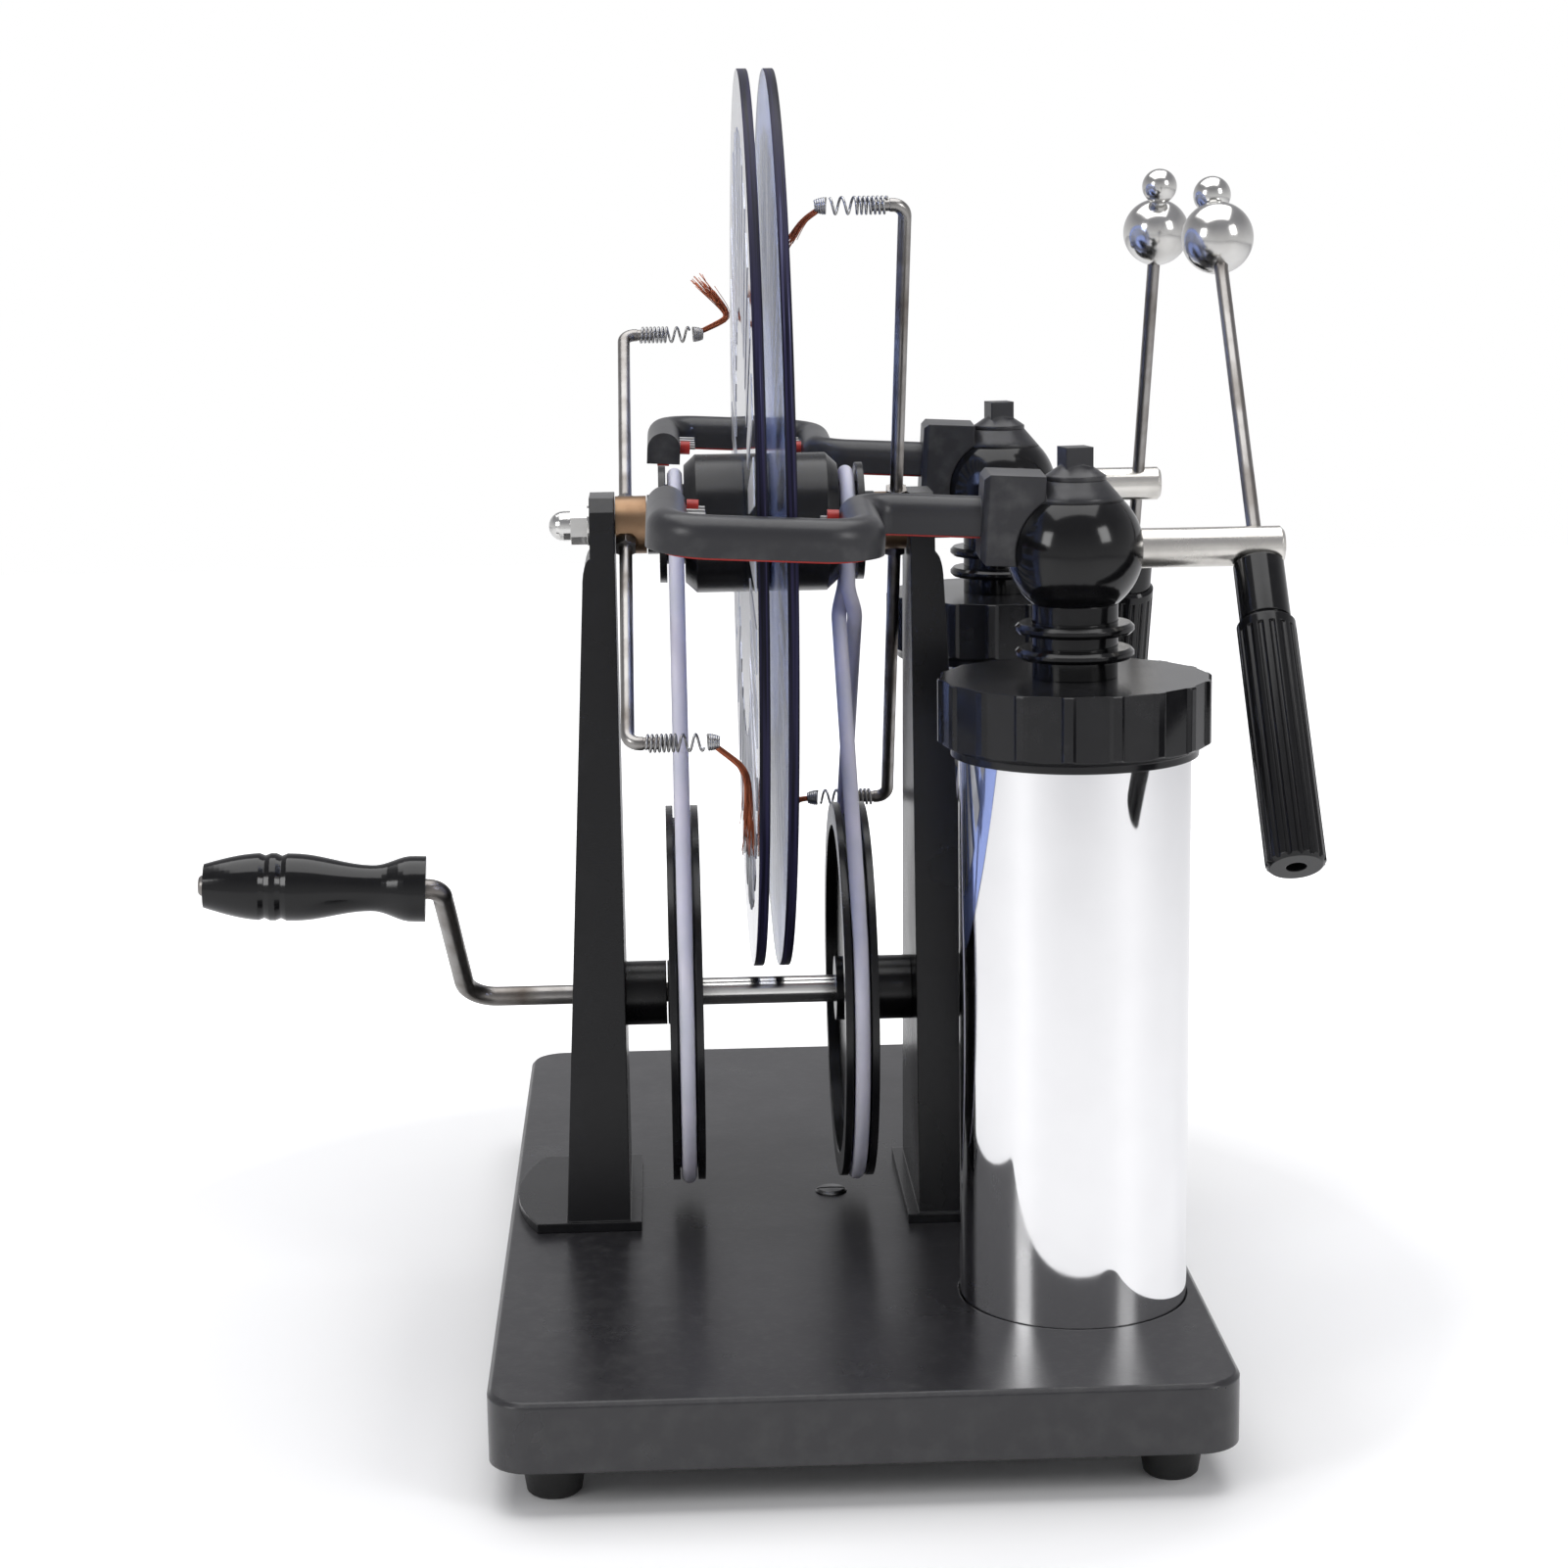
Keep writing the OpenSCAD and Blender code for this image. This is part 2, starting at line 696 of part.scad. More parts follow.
// The belts: the crank side one runs open, the jar side one is crossed
function arc_points(z, r, from, to, steps) =
    [for (i = [0:steps]) let (a = from + (to - from) * i / steps)
        [belt_plane, r * cos(a), z + r * sin(a)]];
function open_route() =
    let (a = asin((belt_big_r - belt_small_r) / shaft_drop))
    concat(arc_points(0, belt_small_r, a, 180 - a, 14),
        arc_points(-shaft_drop, belt_big_r, 180 - a, 360 + a, 34));
function aside(t) = cross_shift * pow(cos(90 * t / crossing_half), 2);
function strand(y_sign, a) =
    let (crossing_z = -shaft_drop * belt_small_r / (belt_small_r + belt_big_r))
    [for (t = [-12:2:0]) [belt_plane + y_sign * aside(t), y_sign * t * sin(a),
        crossing_z - t * cos(a)]];
function crossed_route() =
    let (a = asin((belt_big_r + belt_small_r) / shaft_drop), down = strand(1, a), up = strand(-1, a))
    concat(arc_points(0, belt_small_r, -a, 180 + a, 20), down,
        arc_points(-shaft_drop, belt_big_r, a, -180 - a, 34), [for (i = [0:6]) up[6 - i]]);

module open_belt() {
    color([0.85, 0.86, 0.9])
    at_axle(-1)
        swept_tube(open_route(), belt_d, 10, true);
}

module crossed_belt() {
    color([0.85, 0.86, 0.9])
    at_axle(1)
        swept_tube(crossed_route(), belt_d, 10, true);
}

// The metal coating round each jar
module jar_tubes() {
    color([0.8, 0.81, 0.83])
    both_jars()
        difference() {
            translate([0, 0, jar_bottom])
                cylinder(d = jar_d, h = jar_h, $fn = curve);
            translate([0, 0, jar_bottom - 1])
                cylinder(d = jar_d - 2 * jar_wall, h = jar_h + 2, $fn = curve);
        }
}

// The insulating cup inside each coating, screwed to the base through its floor
module jar_liners() {
    r = jar_d / 2 - jar_wall - liner_gap;
    color([0.9, 0.92, 0.95, 0.5])
    both_jars()
        translate([0, 0, jar_bottom])
            z_turned([[screw_d / 2 + seat_gap, 0], [r, 0], [r, jar_h], [r - liner_wall, jar_h],
                [r - liner_wall, liner_wall], [6, liner_wall], [6, 10],
                [screw_d / 2 + seat_gap, 10]]);
}

// The inner foil of each jar
module jar_foils() {
    r = foil_r;
    color([0.82, 0.82, 0.84])
    both_jars()
        translate([0, 0, jar_bottom + liner_wall])
            z_turned([[6.2, 0], [r, 0], [r, foil_h], [r - foil_t, foil_h],
                [r - foil_t, foil_t], [6.2, foil_t]]);
}

// The rod in each jar, with the cross arm that touches the foil, up to the knob
module jar_contacts() {
    arm_z = jar_bottom + 20;
    color([0.8, 0.65, 0.3])
    both_jars() {
        translate([0, 0, arm_z - 4])
            cylinder(d = contact_d, h = axle_z + knob_bottom + 4 - (arm_z - 4), $fn = 48);
        translate([-foil_r + foil_t + 0.1, -1.5, arm_z])
            cube([2 * (foil_r - foil_t - 0.1), 3, 2]);
    }
}

// The ribbed caps, which fit over the tops of the jars, flat between their ribs
function cap_outline() =
    let (turn = 360 / cap_ribs, half = cap_rib_turn / 2, foot = half + cap_flank_turn)
    [for (i = [0:cap_ribs - 1], corner = [[-half, 0], [half, 0], [foot, 1], [turn - foot, 1]])
        let (a = i * turn + corner[0], r = cap_d / 2 - corner[1] * cap_rib_depth)
            [r * cos(a), r * sin(a)]];
module jar_caps() {
    color([0.08, 0.08, 0.09])
    both_jars()
        difference() {
            union() {
                translate([0, 0, cap_top_z - cap_h])
                    intersection() {
                        linear_extrude(cap_h)
                            polygon(cap_outline());
                        z_turned([[0, 0], [cap_ring_d / 2, 0], [cap_ring_d / 2, cap_skirt_h - 1],
                            [cap_d / 2, cap_skirt_h + 1], [cap_d / 2, cap_h - 0.4],
                            [cap_d / 2 - 0.4, cap_h], [0, cap_h]]);
                    }
                translate([9, 18, cap_top_z - 1])
                    cylinder(d = 3, h = 1.4, $fn = 32);
            }
            translate([0, 0, cap_top_z - cap_h - 1])
                cylinder(d = jar_d + 2 * liner_gap, h = 1 + cap_h - cap_wall, $fn = curve);
            translate([0, 0, cap_top_z - cap_h])
                cylinder(d = contact_d + 2 * seat_gap, h = cap_h + 1, $fn = 48);
        }
}

// The finned necks between the caps and the spheres
module neck_insulators() {
    h = sphere_z - cap_top_z;
    fins = [for (z = neck_fins) each [[neck_d / 2, z - fin_t / 2], [fin_d / 2 - 1, z - fin_t / 2],
        [fin_d / 2, z - fin_t / 2 + 1], [fin_d / 2, z + fin_t / 2 - 1],
        [fin_d / 2 - 1, z + fin_t / 2], [neck_d / 2, z + fin_t / 2]]];
    color([0.08, 0.08, 0.09])
    both_jars()
        difference() {
            translate([0, 0, cap_top_z])
                z_turned(concat([[contact_d / 2 + seat_gap, 0], [neck_d / 2, 0]], fins,
                    [[neck_d / 2, h], [contact_d / 2 + seat_gap, h]]));
            translate([0, 0, sphere_z])
                sphere(d = sphere_d + 2 * seat_gap, $fn = curve);
        }
}

// A sphere with a flat on top for the cone
module sphere_body(gap) {
    difference() {
        sphere(d = sphere_d + 2 * gap, $fn = curve);
        translate([-sphere_d, -sphere_d, sphere_flat + gap])
            cube(2 * sphere_d);
    }
}

// The black spheres, bored for the contact rod and for the arm tube
module terminal_spheres() {
    color([0.04, 0.04, 0.05])
    both_jars()
        translate([0, 0, sphere_z])
            difference() {
                sphere_body(0);
                cylinder(d = contact_d + 2 * seat_gap, h = 2 * sphere_d, center = true, $fn = 48);
                x_rod(tube_d + 2 * running_gap, tube_bore_start, sphere_d);
            }
}

// The knobs that clamp the collectors on the spheres, each with a square stud
module terminal_knobs() {
    color([0.06, 0.06, 0.07])
    both_jars()
        translate([0, 0, axle_z])
            difference() {
                union() {
                    z_turned([[0, knob_bottom], [knob_d / 2, knob_bottom],
                        [knob_d / 2, knob_bottom + 1.2], [stud_w / 2, knob_bottom + 4.3],
                        [0, knob_bottom + 4.3]]);
                    rotate(12)
                        translate([-stud_w / 2, -stud_w / 2, knob_bottom + 3])
                            cube([stud_w, stud_w, 1.3 + stud_h]);
                }
                translate([0, 0, knob_bottom - 1])
                    cylinder(d = contact_d + 2 * seat_gap, h = 5.4, $fn = 48);
            }
}

// A collector: a bar of D section bent to a U round both discs, its block and its cone
module bar_section() {
    intersection() {
        translate([-bar_w / 2, -bar_h / 2])
            square([bar_w, bar_h]);
        union() {
            translate([0, bar_h / 2 - bar_w / 2])
                circle(d = bar_w, $fn = 64);
            translate([-bar_w / 2, -bar_h])
                square([bar_w, 1.5 * bar_h - bar_w / 2]);
        }
    }
}

module strip_section(play) {
    translate([-strip_w / 2 + play, -bar_h / 2 - strip_proud])
        square([strip_w - 2 * play, strip_proud + strip_t - play]);
}

module along_y(from, to) {
    translate([0, from, 0])
        rotate([-90, 0, 0])
            mirror([0, 1, 0])
                linear_extrude(to - from)
                    children();
}

module quarter_turn(from, bend_r) {
    rotate(from)
        rotate_extrude(angle = 90, $fn = curve)
            translate([bend_r, 0])
                children();
}

// The bar's route from above: the arm runs along +X, the legs towards +Y
module collector_route(free_end) {
    out = bar_y - jar_y;
    inner = out - bar_bend_r;
    translate([jar_leg_x, 0, 0])
        along_y(-inner, -arm_bend_r)
            children();
    translate([jar_leg_x + arm_bend_r, -arm_bend_r, 0])
        quarter_turn(90, arm_bend_r)
            children();
    translate([jar_leg_x + arm_bend_r, 0, 0])
        rotate(-90)
            along_y(0, block_x - jar_leg_x - arm_bend_r)
                children();
    translate([-crank_leg_x, 0, 0])
        along_y(-inner, -free_end)
            children();
    translate([bar_bend_r - crank_leg_x, -inner, 0])
        quarter_turn(180, bar_bend_r)
            children();
    translate([jar_leg_x - bar_bend_r, -inner, 0])
        quarter_turn(270, bar_bend_r)
            children();
    translate([bar_bend_r - crank_leg_x, -out, 0])
        rotate(-90)
            along_y(0, jar_leg_x + crank_leg_x - 2 * bar_bend_r)
                children();
}

// Places a collector: tilted about its sphere, with the legs towards the middle
module at_collector(side) {
    translate([jar_frame_x, side * jar_y, sphere_z])
        rotate([collector_tilt, collector_tilt, 0])
            translate([-jar_x, 0, bar_rise])
                mirror([0, side > 0 ? 1 : 0, 0])
                    children();
}

module collector(side) {
    color([0.13, 0.13, 0.14])
    difference() {
        union() {
            at_collector(side) {
                difference() {
                    collector_route(0)
                        bar_section();
                    collector_route(strip_end)
                        strip_section(0);
                    needle_rows(seat_gap);
                }
                translate([0, 0, block_z])
                    clamp_block();
            }
            at_jar(side)
                translate([0, 0, axle_z])
                    z_turned([[0, cone_bottom], [cone_rim_r, cone_bottom],
                        [cone_rim_r, cone_bottom + 1.2], [cone_top_r, cone_top], [0, cone_top]]);
        }
        at_jar(side) {
            translate([0, 0, sphere_z])
                sphere_body(seat_gap);
            translate([0, 0, axle_z])
                cylinder(d = contact_d + 2 * seat_gap, h = 40, $fn = 48);
        }
    }
}

// The block, chamfered at its crank side end, that clamps on the sphere
module clamp_block() {
    end = jar_x - knob_d / 2 - block_clear;
    intersection() {
        rotate([90, 0, 0])
            linear_extrude(block_y, center = true)
                polygon([[block_x, -block_h / 2 + block_bevel], [block_x + block_bevel, -block_h / 2],
                    [end, -block_h / 2], [end, block_h / 2],
                    [block_x + block_bevel, block_h / 2], [block_x, block_h / 2 - block_bevel]]);
        linear_extrude(2 * block_h, center = true)
            polygon([[block_x, -block_y / 2 + block_bevel], [block_x + block_bevel, -block_y / 2],
                [end, -block_y / 2], [end, block_y / 2],
                [block_x + block_bevel, block_y / 2], [block_x, block_y / 2 - block_bevel]]);
    }
}

module near_collector() {
    collector(-1);
}

module far_collector() {
    collector(1);
}

// The needles of both legs: first the one in the bead, then the row along the leg
module needle_rows(play) {
    for (x = [-crank_leg_x, jar_leg_x], i = [0:needles - 1]) {
        inward = x < 0 ? 1 : -1;
        from = x + inward * (bar_w / 2 - 3.5);
        to = x + inward * (bar_w / 2 + (play > 0 ? 0.5 : needle_out));
        translate([0, -needle_start - i * needle_pitch - (x > 0 ? arm_bend_r : 0), 0])
            x_rod(needle_d + 2 * play, min(from, to), max(from, to));
    }
}

// Red strips laid in the grooves under the bars, with a bead round the first needle
module comb_strips() {
    color([0.8, 0.05, 0.05])
    for (side = [-1, 1])
        at_collector(side) {
            collector_route(strip_end + seat_gap)
                strip_section(seat_gap);
            for (x = [-crank_leg_x, jar_leg_x])
                comb_bead(x);
        }
}

module comb_bead(x) {
    inward = x < 0 ? 1 : -1;
    face = x + inward * (bar_w / 2 + seat_gap);
    tip = face + inward * bead_l;
    translate([0, -needle_start - (x > 0 ? arm_bend_r : 0), 0])
        difference() {
            x_rod(bead_d, min(face, tip), max(face, tip));
            x_rod(needle_d + 2 * seat_gap, min(face, tip) - 1, max(face, tip) + 1);
        }
}

module comb_needles() {
    color([0.8, 0.8, 0.82])
    for (side = [-1, 1])
        at_collector(side)
            needle_rows(0);
}

// A disc of clear acrylic, bored for its hub's axle
module disc(side) {
    color([0.55, 0.62, 0.95, 0.45])
    at_axle(side)
        difference() {
            x_rod(disc_d, disc_gap / 2, disc_out);
            x_rod(bush_d + 2 * seat_gap, 0, disc_out + 1);
        }
}

// The foil sectors glued on the outside of a disc
module sectors(side) {
    half_out = asin(sector_w / 2 / sector_outer_r);
    color([0.8, 0.8, 0.83])
    at_axle(side)
        translate([disc_out, 0, 0])
            rotate([90, 0, 90])
                linear_extrude(sector_t)
                    for (i = [0:sector_count - 1])
                        rotate(360 * i / sector_count)
                            difference() {
                                intersection() {
                                    circle(sector_outer_r, $fn = 180);
                                    polygon([[0, 0], 130 * [cos(half_out), sin(half_out)],
                                        130 * [cos(half_out), -sin(half_out)]]);
                                }
                                circle(sector_inner_r, $fn = 180);
                            }
}

// A hub turned in one piece with its belt pulley
module hub(side) {
    groove_in = belt_plane - groove_half;
    cone_r = hub_flange_d / 2;
    color([0.07, 0.07, 0.08])
    at_axle(side)
        x_turned([[bush_d / 2 + seat_gap, disc_out], [hub_d / 2, disc_out],
            [hub_d / 2, hub_face - 0.8], [hub_d / 2 - 0.8, hub_face], [cone_r, groove_in],
            [small_root_r, groove_in], [small_root_r, flange_in], [cone_r, flange_in],
            [cone_r, flange_in + hub_flange_t], [hub_boss_d / 2, flange_in + hub_flange_t],
            [hub_boss_d / 2, hub_reach], [bush_d / 2 + seat_gap, hub_reach]]);
}

// The plate that clamps a disc against its hub from the inside
module hub_plate(side) {
    color([0.1, 0.1, 0.11])
    at_axle(side)
        difference() {
            x_rod(plate_d, disc_gap / 2 - plate_t, disc_gap / 2);
            x_rod(bush_d + 2 * seat_gap, 0, disc_gap);
        }
}

// Two bronze bushes in each hub
module hub_bushes(side) {
    color([0.72, 0.5, 0.25])
    at_axle(side)
        for (from = [disc_gap / 2 - plate_t, hub_reach - bush_l])
            difference() {
                x_rod(bush_d, from, from + bush_l);
                x_rod(axle_d + 2 * running_gap, from - 1, from + bush_l + 1);
            }
}

module crank_side_disc() {
    disc(-1);
}
module crank_side_sectors() {
    sectors(-1);
}
module crank_side_hub() {
    hub(-1);
}
module crank_side_hub_plate() {
    hub_plate(-1);
}
module crank_side_hub_bushes() {
    hub_bushes(-1);
}
module jar_side_disc() {
    disc(1);
}
module jar_side_sectors() {
    sectors(1);
}
module jar_side_hub() {
    hub(1);
}
module jar_side_hub_plate() {
    hub_plate(1);
}
module jar_side_hub_bushes() {
    hub_bushes(1);
}

// The crankshaft, bent twice: out along the arm, then along the handle
arm_turn = [0, -sin(crank_lean), cos(crank_lean)];
handle_axis = [-cos(handle_tilt), 0, 0] + sin(handle_tilt) * arm_turn;
crank_corner = [-crank_arm_x, 0, 0];
pin_corner = crank_corner + crank_throw * arm_turn - [arm_flare, 0, 0];
arm_axis = unit(pin_corner - crank_corner);
pin_start = pin_corner + handle_axis * pin_bend_r * tan(turn_angle(arm_axis, handle_axis) / 2);
handle_start = pin_start + handle_axis * handle_clear;
pin_end = handle_start + handle_axis * (handle_l + pin_out);
module crank_rod() {
    bend_start = crank_corner + [crank_bend_r * tan(turn_angle([-1, 0, 0], arm_axis) / 2), 0, 0];
    color([0.8, 0.8, 0.82])
    at_shaft(1) {
        x_rod(shaft_d, bend_start[0], shaft_end);
        swept_tube(concat([bend_start + [bend_overlap, 0, 0]],
            bend_points(crank_corner, [-1, 0, 0], arm_axis, crank_bend_r, 10),
            bend_points(pin_corner, arm_axis, handle_axis, pin_bend_r, 10),
            [pin_start + bend_overlap * handle_axis]), shaft_d - 0.04, 24);
        straight(shaft_d, pin_start, pin_end);
    }
}

// The bright tube that keeps the two drive pulleys apart
module shaft_spacer() {
    half = belt_plane - pulley_w / 2 - seat_gap;
    color([0.85, 0.85, 0.87])
    at_shaft(1)
        difference() {
            x_rod(spacer_d, -half, half);
            x_rod(shaft_d + 2 * seat_gap, -half - 1, half + 1);
        }
}

// A drive pulley with a round grooved rim, a thin web and a collar
module pulley(side) {
    in = belt_plane - pulley_w / 2;
    out = belt_plane + pulley_w / 2;
    groove_in = belt_plane - groove_half;
    rim_r = pulley_d / 2;
    color([0.08, 0.08, 0.09])
    at_shaft(side)
        difference() {
            x_turned([[shaft_d / 2 + seat_gap, in], [pulley_hub_d / 2, in],
                [pulley_hub_d / 2, belt_plane - web_t / 2], [rim_in_r, belt_plane - web_t / 2],
                [rim_in_r, in], [rim_r, in], [rim_r, groove_in], [big_root_r, groove_in],
                [big_root_r, flange_in], [rim_r, flange_in], [rim_r, out], [rim_in_r, out],
                [rim_in_r, belt_plane + web_t / 2], [pulley_hub_d / 2, belt_plane + web_t / 2],
                [pulley_hub_d / 2, shaft_collar_reach], [shaft_d / 2 + seat_gap, shaft_collar_reach]]);
            translate([grub_x, 0, 0])
                cylinder(d = grub_d + 2 * seat_gap, h = pulley_hub_d / 2 + 0.5, $fn = 48);
        }
}

module crank_side_pulley() {
    pulley(-1);
}
module jar_side_pulley() {
    pulley(1);
}

// The grub screws that fix the pulleys to the crankshaft
module pulley_grub_screws() {
    color([0.3, 0.3, 0.32])
    for (side = [-1, 1])
        at_shaft(side)
            translate([grub_x, 0, shaft_d / 2 + seat_gap])
                difference() {
                    cylinder(d = grub_d, h = 5, $fn = 48);
                    translate([0, 0, 3.5])
                        cylinder(d = 1.5 / cos(30), h = 2, $fn = 6);
                }
}

// The turned handle, free on the end of the crankshaft
function eased(a, b, t) = a + (b - a) * (1 - cos(180 * t)) / 2;
function handle_radius(s) =
    s < 0.06 ? handle_flare_d / 2
    : s < 0.24 ? eased(handle_flare_d, handle_waist_d, (s - 0.06) / 0.18) / 2
    : s < 0.6 ? eased(handle_waist_d, handle_d, (s - 0.24) / 0.36) / 2
    : s < 0.72 ? handle_d / 2
    : (handle_end_d + (handle_d - handle_end_d) * cos(90 * (s - 0.72) / 0.28)) / 2;
module crank_handle() {
    steps = 40;
    groove_at = [26, 29];
    profile = [for (i = [0:steps]) [handle_radius(i / steps)
        - (i == groove_at[0] || i == groove_at[1] ? 0.7 : 0), handle_l * i / steps]];
    color([0.07, 0.07, 0.08])
    at_shaft(1)
        translate(handle_start)
            rotate([crank_lean, 0, 0])
                rotate([0, -90 + handle_tilt, 0])
                z_turned(concat([[shaft_d / 2 + running_gap, 0]], profile,
                    [[shaft_d / 2 + running_gap, handle_l]]));
}

// A neutraliser's parts lie along its own X (the axle) and its own Z (the rods)
module at_neutraliser(side) {
    tilt = side < 0 ? -(90 - crank_side_angle) : 90 - jar_side_angle;
    translate([disc_plane_x, 0, axle_z])
        rotate([tilt, 0, 0])
            mirror([side < 0 ? 1 : 0, 0, 0])
                children();
}

module both_ends() {
    for (end = [0, 180])
        rotate([end, 0, 0])
            children();
}

module collar(side) {
    color([0.75, 0.6, 0.3])
    at_neutraliser(side)
        difference() {
            x_rod(collar_d, collar_in, collar_in + collar_l);
            x_rod(axle_d + 2 * running_gap, collar_in - 1, collar_in + collar_l + 1);
            both_ends()
                translate([rod_plane, 0, 0]) {
                    cylinder(d = rod_d + 2 * seat_gap, h = collar_d, $fn = 48);
                    translate([0, 0, collar_flat_r])
                        cylinder(d = rod_nut_flats / cos(30) + 0.6, h = 5, $fn = 48);
                }
        }
}

// The two halves of a rod, bent towards the disc and turned down for the springs
module rods(side, reach) {
    color([0.75, 0.76, 0.8])
    at_neutraliser(side)
        both_ends() {
            bent_rod(rod_d, [[rod_plane, 0, axle_d / 2 + 0.8], [rod_plane, 0, reach],
                [spring_start, 0, reach]], rod_bend_r);
            translate([0, 0, reach])
                x_rod(spigot_d, spring_start - spigot_l, spring_start + 0.1);
        }
}

module rod_nuts(side) {
    color([0.8, 0.8, 0.82])
    at_neutraliser(side)
        both_ends()
            translate([rod_plane, 0, collar_flat_r])
                difference() {
                    rotate(30)
                        cylinder(d = rod_nut_flats / cos(30), h = 3.2, $fn = 6);
                    translate([0, 0, -1])
                        cylinder(d = rod_d + 2 * seat_gap, h = 6, $fn = 48);
                }
}

module crank_side_collar() {
    collar(-1);
}
module crank_side_rods() {
    rods(-1, crank_side_reach);
}
module crank_side_nuts() {
    rod_nuts(-1);
}
module jar_side_collar() {
    collar(1);
}
module jar_side_rods() {
    rods(1, jar_side_reach);
}
module jar_side_nuts() {
    rod_nuts(1);
}

// A brush spring: close curls on the rod's end, then a few open ones
spring_r = (spring_d - spring_wire_d) / 2;
spring_curls = spring_close_curls + spring_open_curls;
function spring_travel(turn) =
    turn <= spring_close_curls ? turn * spring_pitch
    : spring_close_curls * spring_pitch + (turn - spring_close_curls) * spring_open_pitch;
function spring_point(turn) =
    [spring_start - spring_wire_d - spring_travel(turn), spring_r * sin(360 * turn),
        spring_r * cos(360 * turn)];
spring_route = concat([spring_point(0) - [0, spring_wire_d, 0]],
    [for (i = [0:8 * spring_curls]) spring_point(i / 8)],
    [spring_point(spring_curls) + [0, spring_wire_d, 0]]);
spring_gap = min([for (i = [1:len(spring_route) - 8], j = [i + 5:min(i + 11, len(spring_route) - 1)])
    norm(spring_route[i] - spring_route[j]) - spring_wire_d]);
echo(least_gap_in_a_spring = spring_gap);
module springs(side, reach) {
    color([0.8, 0.8, 0.83])
    at_neutraliser(side)
        both_ends()
            translate([0, 0, reach])
                swept_tube(spring_route, spring_wire_d, 6);
}

module crank_side_springs() {
    springs(-1, crank_side_reach);
}
module jar_side_springs() {
    springs(1, jar_side_reach);
}

// A brush: copper strands in a bright ferrule. Its points are given as [outwards, upwards]
// from the end of its rod, in the upright plane of the axle
function across(dir) = [dir[1], 0, -dir[0]];
function seed(i) = let (r = brush_r * sqrt((i + 0.5) / strand_count), a = 137.508 * i)
    [r * cos(a), r * sin(a)];
function strand_ring(centre, dir, u, wide, thick, r) =
    [for (k = [0:2]) [centre[0], 0, centre[1]]
        + (u[0] * wide + r * cos(120 * k)) * [0, 1, 0]
        + (u[1] * thick + r * sin(120 * k)) * across(dir)];
module brush(side, end, reach, angle, mid, tip, wide) {
    face = spring_end - ferrule_l;
    root = [face + 0.6, 0];
    first = unit(mid - root);
    second = unit(tip - mid);
    bend = unit(first + second);
    r = strand_d / 2;
    points = [for (i = [0:strand_count - 1])
        let (u = seed(i), reach_share = 0.8 + 0.2 * abs(sin(71 * i)))
        each concat(strand_ring(root, [-1, 0], u, 1, 1, r),
            strand_ring(mid, bend, u, 1.15, 0.78, r),
            strand_ring(mid + reach_share * (tip - mid), second, u, wide, 0.78, r))];
    faces = [for (i = [0:strand_count - 1]) let (a = 9 * i) each concat(
        [[a, a + 2, a + 1], [a + 6, a + 7, a + 8]],
        [for (s = [0, 3], k = [0:2]) let (p = a + s + k, q = a + s + (k + 1) % 3)
            each [[p, q, p + 3], [q, q + 3, p + 3]]])];
    color([0.75, 0.33, 0.18])
    at_axle(side)
        translate([0, -side * end * reach * cos(angle), end * reach * sin(angle)])
            union() {
                x_rod(ferrule_d, face, spring_end);
                polyhedron(points, faces);
            }
}

module crank_side_upper_brush() {
    brush(-1, 1, crank_side_reach, crank_side_angle, [8.2, 6], [18, 19], 2.4);
}
module crank_side_lower_brush() {
    brush(-1, -1, crank_side_reach, crank_side_angle, [8, -8], [8, -34], 1.2);
}
module jar_side_upper_brush() {
    brush(1, 1, jar_side_reach, jar_side_angle, [12, -4], [8, -11], 1.2);
}
module jar_side_lower_brush() {
    brush(1, -1, jar_side_reach, jar_side_angle, [12, -0.5], [8, -6], 1.2);
}

// The discharge arms: a steel tube that turns in its sphere and a rod that slides through it
function tube_start(side) = tube_bore_start + pass_gap + (side < 0 ? tube_offset : 0);
function rod_place(side) = tube_start(side) + tube_l - rod_inset;
function rod_drop(side) = side < 0 ? 0 : far_rod_drop;
module at_tube(side) {
    translate([jar_frame_x, side * jar_y, sphere_z])
        children();
}

module at_spark_rod(side) {
    at_tube(side)
        translate([rod_place(side), 0, 0])
            rotate([side < 0 ? -near_lean : far_lean, 0, 0])
                children();
}

module arm_tube(side) {
    from = tube_start(side);
    to = from + tube_l;
    color([0.8, 0.8, 0.82])
    difference() {
        at_tube(side)
            x_turned([[tube_d / 2 - tube_wall, from], [tube_d / 2, from], [tube_d / 2, to - 1],
                [tube_d / 2 - 1, to], [0, to], [0, to - 1.5], [tube_d / 2 - tube_wall, to - 1.5]]);
        at_spark_rod(side)
            cylinder(d = spark_rod_d + 2 * running_gap, h = 3 * tube_d, center = true, $fn = 48);
    }
}

module discharge_rod(side) {
    bottom = -tube_d / 2 - pass_gap - sleeve_l - 28;
    top = near_ball_reach - ball_d / 2 + 7;
    color([0.75, 0.76, 0.8])
    at_spark_rod(side)
        translate([0, 0, bottom - rod_drop(side)])
            cylinder(d = spark_rod_d, h = top - bottom, $fn = 48);
}

module discharge_balls(side) {
    gap = (ball_d + small_ball_d) / 2 - 0.4;
    color([0.85, 0.85, 0.87])
    at_spark_rod(side)
        translate([0, 0, near_ball_reach - rod_drop(side)])
            difference() {
                union() {
                    sphere(d = ball_d, $fn = curve);
                    cylinder(d = 5, h = gap, $fn = 48);
                    translate([0, 0, gap])
                        sphere(d = small_ball_d, $fn = curve);
                }
                translate([0, 0, -ball_d])
                    cylinder(d = spark_rod_d + 2 * seat_gap, h = ball_d / 2 + 7.1, $fn = 48);
            }
}

